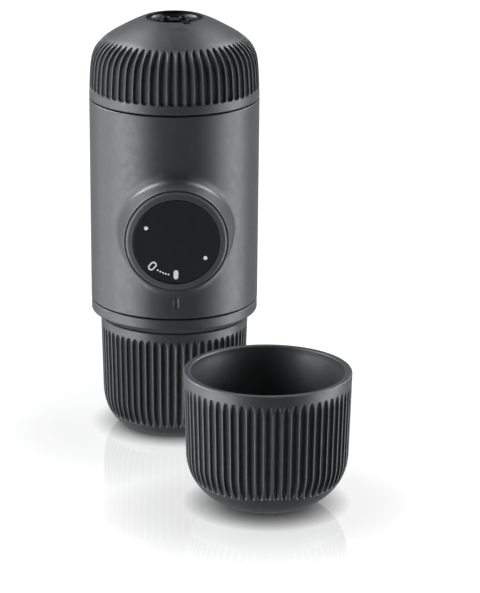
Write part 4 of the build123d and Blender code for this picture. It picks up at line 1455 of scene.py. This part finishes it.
@dataclass
class Dial(Assembly):
    """Turning knob with its nearly flat ring, dark disc and printed marks."""

    radius: float = 18.1
    face: float = 40.0
    face_radius: float = 15.6
    back: float = 34.6
    ring_drop: float = 0.95
    ring_brow: Point = (0.7, 0.45)
    ring_foot: float = 0.25
    seat: float = 38.4
    skirt: float = 17.2
    skirt_back: float = 10.0
    skirt_wall: float = 1.5
    front_wall: float = 2.2
    hub: float = 7.0
    hub_back: float = 27.3
    stem_bore: float = 4.05
    screw_bore: float = 5.15
    screw_seat: float = 37.35
    play: float = 0.02
    disc_drop: float = 0.12
    disc_gap: float = 0.2
    disc_foot: float = 0.05
    disc_edge: float = 0.25
    disc_columns: int = 160
    columns: int = 200
    back_edge: Corner = (0.25, 3)
    rim_edge: Corner = (0.35, 6)
    brow_edge: Corner = (1.2, 6)
    face_edge: float = 0.2
    shelf_edge: Corner = (0.5, 3)
    lug_reach: float = 1.7
    lug_length: float = 3.0
    lug_edge: float = 0.3
    lug_root: float = 0.6
    lug_angle: float = math.radians(20)
    lug_steps: int = 8

    def build(self) -> None:
        """Build and dress the knob, its disc and the marks."""
        bore, shelf = self.skirt - self.skirt_wall, self.seat - self.front_wall
        inner, (brow, share) = self.face_radius - self.play, self.ring_brow
        made = Moulding().turn([
            (bore, self.skirt_back, *FULL_EDGE), (self.skirt, self.skirt_back, *FULL_EDGE),
            (self.skirt, self.back, *SOFT_EDGE), (self.radius, self.back, *self.back_edge),
            (self.radius, self.face - self.ring_drop, *self.rim_edge),
            (self.radius - brow, self.face - share * self.ring_drop, *self.brow_edge),
            (self.face_radius + self.ring_foot, self.face, self.face_edge),
            (inner, self.face, *FINE_EDGE), (inner, self.seat),
            (self.screw_bore, self.seat, *FINE_EDGE), (self.screw_bore, self.screw_seat),
            (self.stem_bore, self.screw_seat), (self.stem_bore, self.hub_back, *SOFT_EDGE),
            (self.hub, self.hub_back, *FULL_EDGE), (self.hub, shelf, *self.shelf_edge),
            (bore, shelf, *self.shelf_edge),
        ], self.columns, Lie.FORWARD)
        for turn in (0.0, math.pi):
            self._lug(made, turn)
        stand(even(made.piece("knob_moulding")), "dial", self.finishes.knob, "knob")
        rim, foot = self.face_radius - self.disc_gap, self.seat + self.disc_foot
        top = self.face - self.disc_drop
        corners = [(0, top), (rim, top, self.disc_edge), (rim, foot, *FINE_EDGE), (0, foot)]
        disc = turned("dial_disc", corners, self.disc_columns, Lie.FORWARD)
        stand(disc, "dial", self.finishes.dial, "dial_face")
        stand(DialMarks(top).moulding().piece("dial_marks"), "dial", self.finishes.ink)

    def _lug(self, made: Moulding, turn: float) -> None:
        """Add one bayonet lug to the skirt's back end.

        Args:
            made: The knob's moulding.
            turn: Direction of the lug's middle.
        """
        low, high = self.skirt_back, self.skirt_back + self.lug_length
        root, tip, edge = self.skirt - self.lug_root, self.skirt + self.lug_reach, self.lug_edge
        angles = [turn + self.lug_angle * (n / self.lug_steps - 0.5) for n in range(self.lug_steps + 1)]
        rows = [made.ring(spot, angles, Lie.FORWARD) for spot in (
            (root, low), (tip - edge, low), (tip, low + edge),
            (tip, high - edge), (tip - edge, high), (root, high),
        )]
        made.loft(rows, wrap=False, loop=True)
        made.faces += [tuple(row[0] for row in rows), tuple(row[-1] for row in reversed(rows))]


@dataclass
class DialMarks:
    """Plain printed marks of the dial: a pill, an open pill, an arc of dots and two larger dots."""

    face: float
    ink: float = 0.03
    sunk: float = 0.02
    steps: int = 10
    pill_size: Point = (1.7, 3.4)
    pill_place: Point = (-0.2, -12.1)
    ring_place: Point = (-8.6, -8.8)
    ring_size: Point = (2.4, 3.6)
    ring_stroke: float = 0.55
    ring_turn: float = math.radians(-44)
    small_dots: tuple[Point, ...] = (
        (-6.7, -10.3), (-5.75, -10.9), (-4.8, -11.35), (-3.85, -11.7), (-2.85, -11.95),
    )
    small_radius: float = 0.34
    large_dots: tuple[Point, ...] = ((-10.8, 5.2), (10.3, -5.9))
    large_radius: float = 0.72

    def moulding(self) -> Moulding:
        """Build all the marks.

        Returns:
            The moulding.
        """
        made = Moulding()
        self._plate(made, self._pill(self.pill_size, self.pill_place))
        sizes = (self.ring_size, tuple(side - 2 * self.ring_stroke for side in self.ring_size))
        self._plate(made, *(self._pill(size, self.ring_place, self.ring_turn) for size in sizes))
        for places, radius in ((self.small_dots, self.small_radius), (self.large_dots, self.large_radius)):
            for place in places:
                self._plate(made, self._pill((2 * radius, 2 * radius), place))
        return made

    def _plate(self, made: Moulding, *outlines: Sequence[Point]) -> None:
        """Add one flat mark.

        Args:
            made: The moulding of all marks.
            outlines: Its outline, and that of its open middle if it has one.
        """
        levels = (self.face - self.sunk, self.face + self.ink)
        rows = [
            made.row(Vector((x, -level, PUMP_HEIGHT + z)) for x, z in outline)
            for outline in outlines for level in levels
        ]
        if len(rows) == 2:
            made.loft(rows, cap=True)
        else:
            made.loft([rows[0], rows[1], rows[3], rows[2]], loop=True)

    def _pill(self, size: Point, place: Point, turn: float = 0.0) -> list[Point]:
        """Draw a pill at its place.

        Args:
            size: Its width and height.
            place: Its middle.
            turn: How far it leans.

        Returns:
            Its outline.
        """
        cos, sin = math.cos(turn), math.sin(turn)
        outline = pill(size[0] / 2, (size[1] - size[0]) / 2, self.steps)
        return [(place[0] + x * cos - z * sin, place[1] + x * sin + z * cos) for x, z in outline]


# --------------------------------------------------------------------------- spout and basket


@dataclass
class Spout(Assembly):
    """Black insert with two nozzles in a recess, and the tab beside it."""

    radius: float = 10.28
    rim: float = 9.35
    rim_wall: float = 0.15
    rim_depth: float = 0.8
    rim_round: float = 0.45
    low: float = 147.7
    floor: float = 149.2
    ledge: float = 152.4
    ledge_span: Point = (0.75, 1.5)
    ledge_slope: float = 0.1
    well: float = 1.8
    high: float = 153.98
    bar_half: float = 8.0
    bar_radius: float = 1.3
    bar_top: float = 152.9
    bar_edge: float = 0.25
    island_half: float = 3.15
    island_radius: float = 2.2
    island_top: float = 153.1
    island_edge: float = 0.4
    tube: float = 1.7
    tube_top: float = 153.85
    tube_depth: float = 1.4
    tube_root: float = 0.2
    nozzle: float = 1.0
    tab_radius: float = 2.0
    tab_place: Point = (3.8, -9.2)
    tab_foot: float = 0.6
    sunk: float = 0.05
    pill_steps: int = 16
    pill_bend: tuple[Point, ...] = ((0.0, 1.0), (0.13, 0.5), (0.5, 0.13), (1.0, 0.0))
    rim_ease: float = 0.01
    ledge_edge: float = 0.4
    step_edge: Corner = (0.2, 3)
    floor_edge: float = 0.5
    nozzle_edge: float = 0.25
    tube_edge: float = 0.3
    tab_edge: Corner = (0.25, 5)
    columns: int = 128
    small_columns: int = 48

    def build(self) -> None:
        """Build and dress the insert, its recess with the nozzles, and the tab."""
        side, lip = self.rim - self.rim_wall, self.high - self.rim_depth
        insert = turned("spout_insert", [
            (side, self.low), (self.radius, self.low, *SOFT_EDGE),
            (self.radius, self.high, self.rim_round, 6),
            (self.rim, self.high, self.rim_round + self.rim_ease, 6), (side, lip),
        ], self.columns)
        stand(insert, "head", self.finishes.black, "spout")
        outer, inner = self.ledge_span
        pan = turned("spout_pan", [
            (0, self.low), (side, self.low), (side, lip), (self.rim - outer, self.ledge, self.ledge_edge),
            (self.rim - inner, self.ledge - self.ledge_slope, *self.step_edge),
            (self.rim - self.well, self.floor, self.floor_edge), (0, self.floor),
        ], self.columns)
        stand(pan, "head", self.finishes.gloss)
        nozzles, foot, top = Moulding(), self.island_top - self.tube_depth, self.tube_top
        nozzles.add(self._pill(self.bar_radius, self.bar_half, self.bar_top, self.bar_edge))
        nozzles.add(self._pill(self.island_radius, self.island_half, self.island_top, self.island_edge))
        tube = Moulding().turn([
            (0, foot), (self.nozzle, foot), (self.nozzle, top, self.nozzle_edge),
            (self.tube, top, self.tube_edge), (self.tube, self.island_top - self.tube_root),
            (0, foot - self.tube_root),
        ], self.small_columns)
        for way in (-1, 1):
            nozzles.add(tube, Vector((way * self.island_half, 0, 0)))
        stand(even(nozzles.piece("spout_nozzles")), "head", self.finishes.gloss)
        base, reach = self.ledge - self.tab_foot, self.tab_radius
        corners = [(0, base), (reach, base), (reach, self.high, *self.tab_edge), (0, self.high)]
        tab = turned("spout_tab", corners, self.small_columns, place=self.tab_place)
        stand(tab, "head", self.finishes.black)

    def _pill(self, radius: float, half: float, top: float, edge: float) -> Moulding:
        """Make a pill that lies across the machine, from the recess's floor up.

        Args:
            radius: Radius of its round ends.
            half: Distance of their centres from its middle.
            top: Height of its top face.
            edge: How much its top edge is rounded.

        Returns:
            The moulding.
        """
        made = Moulding()
        levels = [(0.0, self.floor - self.sunk)]
        levels += [(inset * edge, top - drop * edge) for inset, drop in self.pill_bend]
        made.loft([
            made.row(Vector((z, -x, level)) for x, z in pill(radius - inset, half, self.pill_steps))
            for inset, level in levels
        ], cap=True)
        return made


@dataclass
class CoffeeChamber(Assembly):
    """Filter basket, shower screen and the neck's thread, which show when the head is off."""

    basket_radius: float = 20.6
    basket_wall: float = 0.6
    basket_low: float = 127.5
    basket_high: float = 143.4
    flange: float = 22.2
    screen_low: float = 124.5
    screen_high: float = 125.3
    screen_radius: float = 22.5
    screen_bore: float = 1.3
    mouth_edge: Corner = (1.4, 5)
    rim_edge: float = 0.28
    neck_edge: float = 0.5
    base_edge: Corner = (1.9, 6)
    screen_edge: Corner = (0.2, 3)
    columns: int = 144
    thread: Thread = field(default_factory=lambda: Thread(24.7, 25.12, 126.2, 2.6, 1.4, 1.2))

    def build(self) -> None:
        """Build and dress the basket, the screen and the thread."""
        wall, low, high = self.basket_wall, self.basket_low, self.basket_high
        bore, rim = self.basket_radius - wall, low + wall
        basket = turned("basket_pressing", [
            (0, high - wall), (bore, high - wall, *self.mouth_edge), (bore, low, self.neck_edge),
            (self.flange, low, self.rim_edge), (self.flange, rim, self.rim_edge),
            (self.basket_radius, rim, self.neck_edge), (self.basket_radius, high, *self.base_edge),
            (0, high),
        ], self.columns)
        stand(basket, "basket", self.finishes.sheet, "filter_basket")
        screen = turned("screen_pressing", [
            (self.screen_bore, self.screen_low, *FINE_EDGE),
            (self.screen_radius, self.screen_low, *self.screen_edge),
            (self.screen_radius, self.screen_high, *self.screen_edge),
            (self.screen_bore, self.screen_high, *FINE_EDGE),
        ], self.columns)
        stand(screen, "main_body", self.finishes.sheet, "shower_screen")
        stand(self.thread.moulding().piece("brew_neck_thread"), "main_body", self.finishes.chassis)


# --------------------------------------------------------------------------- fasteners and springs


@dataclass(frozen=True)
class Coil:
    """Round-wire compression spring with closed ends."""

    mean: float
    wire: float
    low: float
    high: float
    turns: int
    lie: Lie = Lie.UPRIGHT
    steps: int = 40
    sides: int = 10
    closing: float = 0.06

    def moulding(self) -> Moulding:
        """Build the coil.

        Returns:
            The moulding.
        """
        made, rows, half = Moulding(), [], self.wire / 2
        total, rise = self.turns * self.steps, self.high - self.low - self.wire
        around = [TURN * k / self.sides for k in range(self.sides)]
        for n in range(total + 1):
            share = n / total
            height = self.low + half + rise * (share - self.closing * math.sin(TURN * share))
            wire = ((self.mean + half * math.cos(a), height + half * math.sin(a)) for a in around)
            rows.append(made.row(seat(r, TURN * n / self.steps, z, self.lie) for r, z in wire))
        made.loft(rows, cap=True)
        return made


@dataclass(frozen=True)
class Screw:
    """Cylinder-head screw with a cross recess."""

    head: float
    head_height: float
    shank: float
    length: float
    tip: float = 0.8
    point: float = 0.6
    slot_half: float = 0.22
    slot_lengths: Point = (0.38, 0.62)
    slot_depth: float = 0.35
    clear: float = 0.3
    head_edge: float = 0.45
    columns: int = 32

    def moulding(self, seat_height: float, way: int) -> Moulding:
        """Build one screw on the machine's axis.

        Args:
            seat_height: Height of the face that the head bears on.
            way: 1 if the head is on top, -1 if it is underneath.

        Returns:
            The screw.
        """
        line = rounded([
            (0, -self.length), (self.shank * self.point, -self.length), (self.shank, self.tip - self.length),
            (self.shank, 0), (self.head, 0, *FINE_EDGE),
            (self.head, self.head_height, self.head_edge), (0, self.head_height),
        ])
        blank = Moulding().turn([(r, seat_height + way * z) for r, z in line], self.columns)
        screw = blank.piece("screw_blank")
        levels = (self.head_height * self.slot_depth, self.head_height + self.clear)
        for cos, sin in ((1, 0), (0, 1)):
            tool, rows = Moulding(), []
            for level, share in zip(levels, self.slot_lengths):
                long, half = self.head * share, self.slot_half
                corners = ((-long, -half), (long, -half), (long, half), (-long, half))
                height = seat_height + way * level
                rows.append(tool.row(
                    Vector((x * cos - y * sin, x * sin + y * cos, height)) for x, y in corners
                ))
            tool.loft(rows, cap=True)
            cut(screw, tool.piece("recess_tool"))
        mesh = screw.data
        made = Moulding([v.co / MM for v in mesh.vertices], [tuple(p.vertices) for p in mesh.polygons])
        bpy.data.objects.remove(screw)
        return made


@dataclass
class Hardware(Assembly):
    """Screws that hold the two bulkheads together."""

    places: tuple[Point, ...] = ((6.0, -15.0), (-6.0, -15.0), (-8.5, 18.0))
    base_seat: float = 54.2
    brew_seat: float = 116.4
    screw: Screw = Screw(2.3, 1.5, 1.2, 6.0)

    def build(self) -> None:
        """Build and dress the screws."""
        for name, node, height, way in (
            ("base_screw_set", "base_screws", self.base_seat, -1),
            ("brew_screw_set", "brew_screws", self.brew_seat, 1),
        ):
            made, one = Moulding(), self.screw.moulding(height, way)
            for place in self.places:
                made.add(one, Vector((*place, 0)))
            stand(even(made.piece(name)), "main_body", self.finishes.steel, node)


@dataclass
class Springs(Assembly):
    """The return spring of the pump and the three valve springs."""

    back: Coil = Coil(10.5, 1.3, 4.1, 24.7, 5, Lie.FORWARD)
    column: Point = (0, 18.0)
    relief: Point = (7.0, 16.0)
    valve_mean: float = 1.8
    valve_wire: float = 0.4
    valve_turns: int = 3

    def build(self) -> None:
        """Build and dress the springs."""
        ends = tuple(Vector((0, -reach, PUMP_HEIGHT)) for reach in (self.back.low, self.back.high))
        coil = self.back.moulding().piece("return_coil")
        stretch(coil, ("main_body", "plunger"), ends, self.finishes.steel, "return_spring")
        for valve, body, place in (
            ("inlet", "inlet_ball", self.column), ("outlet", "outlet_ball", self.column),
            ("relief", "relief_poppet", self.relief),
        ):
            node = f"{valve}_spring"
            low, high = (corner.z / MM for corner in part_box(node))
            spring = Coil(self.valve_mean, self.valve_wire, low, high, self.valve_turns)
            ends = tuple(Vector((0, 0, height)) for height in (low, high))
            coil = spring.moulding().piece(f"{valve}_coil", place)
            stretch(coil, (body, "main_body"), ends, self.finishes.steel, node)


@dataclass
class InnerWorks(Assembly):
    """Nodes of the frame that keep their own shape and get a finish."""

    plastic: tuple[str, ...] = (
        "chassis_base", "inlet_strainer", "pump_housing", "valve_block", "brew_head", "portafilter_core",
        "pump_cylinder", "plunger",
    )
    rubber: tuple[str, ...] = (
        "tank_seal", "lower_o_ring", "upper_o_ring", "air_valve", "piston_seal", "basket_gasket",
        "spout_seal",
    )
    steel: tuple[str, ...] = ("cylinder_screws", "knob_screw", "screen_screw", "inlet_ball", "outlet_ball")
    brass: tuple[str, ...] = (
        "inlet_seat", "outlet_seat", "outlet_plug", "relief_seat", "relief_poppet", "relief_plug",
    )

    def build(self) -> None:
        """Dress the inner nodes."""
        for names, look in (
            (self.plastic, self.finishes.chassis), (self.rubber, self.finishes.rubber),
            (self.steel, self.finishes.steel), (self.brass, self.finishes.brass),
        ):
            for name in names:
                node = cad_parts[name]
                node.data.materials.clear()
                node.data.materials.append(look.material)
                LOG.info("dressed %s", name)


# --------------------------------------------------------------------------- studio


@dataclass(frozen=True)
class Softbox:
    """Soft lamp that faces the machine, with its angles in degrees and its power in watts."""

    name: str
    azimuth: float
    elevation: float
    size: Point
    power: float
    distance: float = 1500.0


@dataclass(frozen=True)
class Footprint:
    """Round shade on the floor, by its middle, the radius of its core and its reach."""

    x: float
    y: float
    radius: float
    reach: float


@dataclass
class Studio:
    """Camera, lamps, floor and surroundings."""

    azimuth: float = -1.1
    elevation: float = 15.81
    aim: float = 78.0
    distance: float = 1229.0
    lens: float = 203.07
    sensor: float = 36.0
    shift: Point = (0.1107, -0.1312)
    clip: Point = (0.05, 50.0)
    floor_size: float = 9000.0
    floor_drop: float = 0.02
    floor_shade: float = 0.35
    floor_seen: float = 0.07
    floor_glow: float = 0.71
    floor_reflection: float = 0.9
    floor_index: float = 2.1
    floor_cloud: float = 0.004
    cloud_size: float = 60.0
    wear_size: float = 30.0
    floor_roughness: Point = (0.03, 0.05)
    # Reach and strength of the painted contact shadow in the floor's glow.
    contact_reach: float = 9.0
    contact_power: float = 1.1
    contact_samples: int = 12
    shade_span: Point = (0.2, 1.0)
    # Where the floor's glow is lowered into painted shade round the pieces.
    footprints: tuple[Footprint, ...] = (
        Footprint(0.0, 0.0, 24.0, 90.0), Footprint(30.6, -86.9, 20.0, 60.0),
    )
    fill: float = 0.025
    depth_span: Point = (-0.1, 0.9)
    depth_levels: Point = (0.01, 0.35)
    rise_span: Point = (-0.1, 0.2)
    rise_levels: Point = (1.0, 0.4)
    back_span: Point = (0.9, 0.925)
    back_level: float = 0.5
    back_rise: Point = (0.26, 0.3)
    lamp_tint: Colour = (0.955, 0.975, 1.0)
    lamps: tuple[Softbox, ...] = (
        Softbox("left_softbox", -70, -10, (1250, 2000), 52),
        Softbox("left_rear_softbox", -112, -6, (700, 2000), 10),
        Softbox("right_softbox", 86, -10, (950, 2000), 37),
        Softbox("right_front_softbox", 60, -10, (500, 2000), 6),
        Softbox("left_top_softbox", -112, 46, (900, 900), 42, 1600),
        Softbox("right_top_softbox", 116, 44, (900, 900), 26, 1600),
        Softbox("left_high_strip", -122, 27, (300, 300), 9),
        Softbox("right_high_strip", 120, 27, (300, 300), 9),
    )

    def build(self) -> None:
        """Set up the camera, the floor, the surroundings and the lamps."""
        camera = bpy.data.cameras.new("studio_camera")
        camera.lens, camera.sensor_width = self.lens, self.sensor
        camera.shift_x, camera.shift_y = self.shift
        camera.clip_start, camera.clip_end = self.clip
        bpy.context.scene.camera = self._hang(camera, self.azimuth, self.elevation, self.distance)
        self._floor()
        self._surroundings()
        for box in self.lamps:
            lamp = bpy.data.lights.new(box.name, "AREA")
            lamp.shape, lamp.energy, lamp.color = "RECTANGLE", box.power, self.lamp_tint
            lamp.size, lamp.size_y = (side * MM for side in box.size)
            self._hang(lamp, box.azimuth, box.elevation, box.distance)
        bpy.context.scene.view_settings.view_transform = "Standard"

    def _hang(self, data: bpy.types.ID, azimuth: float, elevation: float, distance: float) -> Piece:
        """Place the camera or a lamp so that it faces the machine.

        Args:
            data: The camera's or the lamp's data.
            azimuth: Its angle from the front, in degrees.
            elevation: Its angle above the floor, in degrees.
            distance: Its distance.

        Returns:
            The object.
        """
        around, up = math.radians(azimuth), math.radians(elevation)
        way = Vector((math.sin(around) * math.cos(up), -math.cos(around) * math.cos(up), math.sin(up)))
        item = bpy.data.objects.new(data.name, data)
        item.location = (Vector((0, 0, self.aim)) + way * distance) * MM
        item.rotation_mode = "QUATERNION"
        item.rotation_quaternion = (-way).to_track_quat("-Z", "Y")
        bpy.context.scene.collection.objects.link(item)
        return item

    def _floor(self) -> None:
        """Lay the pale floor that the pieces stand on, white where it is seen and nothing shades it; its
        glow is dimmed into painted shade round the pieces and a painted contact shadow where they meet it.
        """
        half, made = self.floor_size / 2, Moulding()
        corners = ((-half, -half), (half, -half), (half, half), (-half, half))
        made.faces.append(tuple(made.row(Vector((*corner, -self.floor_drop)) for corner in corners)))
        floor = made.piece("studio_floor")
        shader = Shader("pale_floor")
        seen = shader.rays("Camera", "Glossy", "Transmission")
        cloud = shader.ramp(shader.noise(self.cloud_size, 3.0), -self.floor_cloud, self.floor_cloud)
        shade = shader.span(seen, (0, 1), (self.floor_shade, self.floor_seen))
        # Painted contact shadow: ambient occlusion dims the floor's glow where the pieces meet it.
        contact_shadow = shader.node("AmbientOcclusion", Distance=self.contact_reach * MM)
        contact_shadow.samples = self.contact_samples
        # Painted shade: the glow is lower round the pieces' footprints than clear of them, which also lets
        # the floor's reflection show.
        glow = shader.span(self._clear(shader), (0, 1), (self.floor_glow, 1))
        glow = shader.math("MULTIPLY", glow, shader.math("POWER", contact_shadow.outputs["AO"], self.contact_power))
        floor.data.materials.append(shader.coat(
            Base_Color=shader.mix(shader.math("ADD", shade, cloud), (0, 0, 0), NEUTRAL),
            Roughness=shader.ramp(shader.noise(self.wear_size, 3.0), *self.floor_roughness),
            Emission_Strength=shader.math("MULTIPLY", seen, glow),
            Emission_Color=WHITE,
            Specular_IOR_Level=self.floor_reflection,
            IOR=self.floor_index,
        ))
        floor.visible_glossy = floor.visible_shadow = False
        floor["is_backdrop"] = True

    def _clear(self, shader: Shader) -> Socket:
        """Tell how far a place of the floor is from what stands on it.

        Args:
            shader: The floor's shader.

        Returns:
            A value from 0 beside it to 1 clear of it.
        """
        x, y, _ = shader.split(shader.place)
        gaps = []
        for foot in self.footprints:
            sides = (shader.math("SUBTRACT", side, at * MM) for side, at in ((x, foot.x), (y, foot.y)))
            gap = shader.math("SUBTRACT", shader.length(*sides), foot.radius * MM)
            gaps.append(shader.math("DIVIDE", gap, foot.reach * MM))
        return shader.span(shader.math("MINIMUM", *gaps), self.shade_span, (0, 1), smooth=True)

    def _surroundings(self) -> None:
        """Give the air round the stage its white backdrop, its dim mirrored room and its soft fill."""
        world = bpy.data.worlds.new("studio_air")
        bpy.context.scene.world = world
        air = NodeTree(world)
        _, y, z = air.split(air.node("TexCoord").outputs["Generated"])
        room = air.math(
            "MULTIPLY", air.span(y, self.depth_span, self.depth_levels, smooth=True),
            air.span(z, self.rise_span, self.rise_levels),
        )
        window = air.math(
            "MULTIPLY", air.span(y, self.back_span, (0, self.back_level)),
            air.span(z, self.back_rise, (0, 1)),
        )
        level = air.math("MAXIMUM", air.rays("Camera"), air.math("MAXIMUM", room, window))
        mix = air.node("MixShader", Fac=air.rays("Camera", "Glossy", "Transmission"))
        for socket, strength in zip(mix.inputs[1:], (self.fill, level)):
            glow = air.node("Background", Color=WHITE, Strength=strength)
            air.feed(socket, glow.outputs["Background"])
        air.node("OutputWorld", Surface=mix.outputs["Shader"])


def write_sizes() -> None:
    """Gather the frame's box and the dressed machine's box as plain lists."""
    boxes = {"cad": CAD_BOX, "visual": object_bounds()}
    plain = {name: [list(corner) for corner in corners] for name, corners in boxes.items()}


def main() -> None:
    """Build the studio and every sub-assembly in order."""
    logging.basicConfig(level=logging.INFO, format="%(name)s: %(message)s")
    finishes = Finishes()
    Studio().build()
    for kind in (
        WaterTank, Cup, OutletDome, BodyShell, BodyTrim, Dial, Spout, CoffeeChamber,
        Hardware, Springs, InnerWorks,
    ):
        LOG.info("building %s", kind.__name__)
        kind(finishes).build()
    write_sizes()


if __name__ == "__main__":
    main()
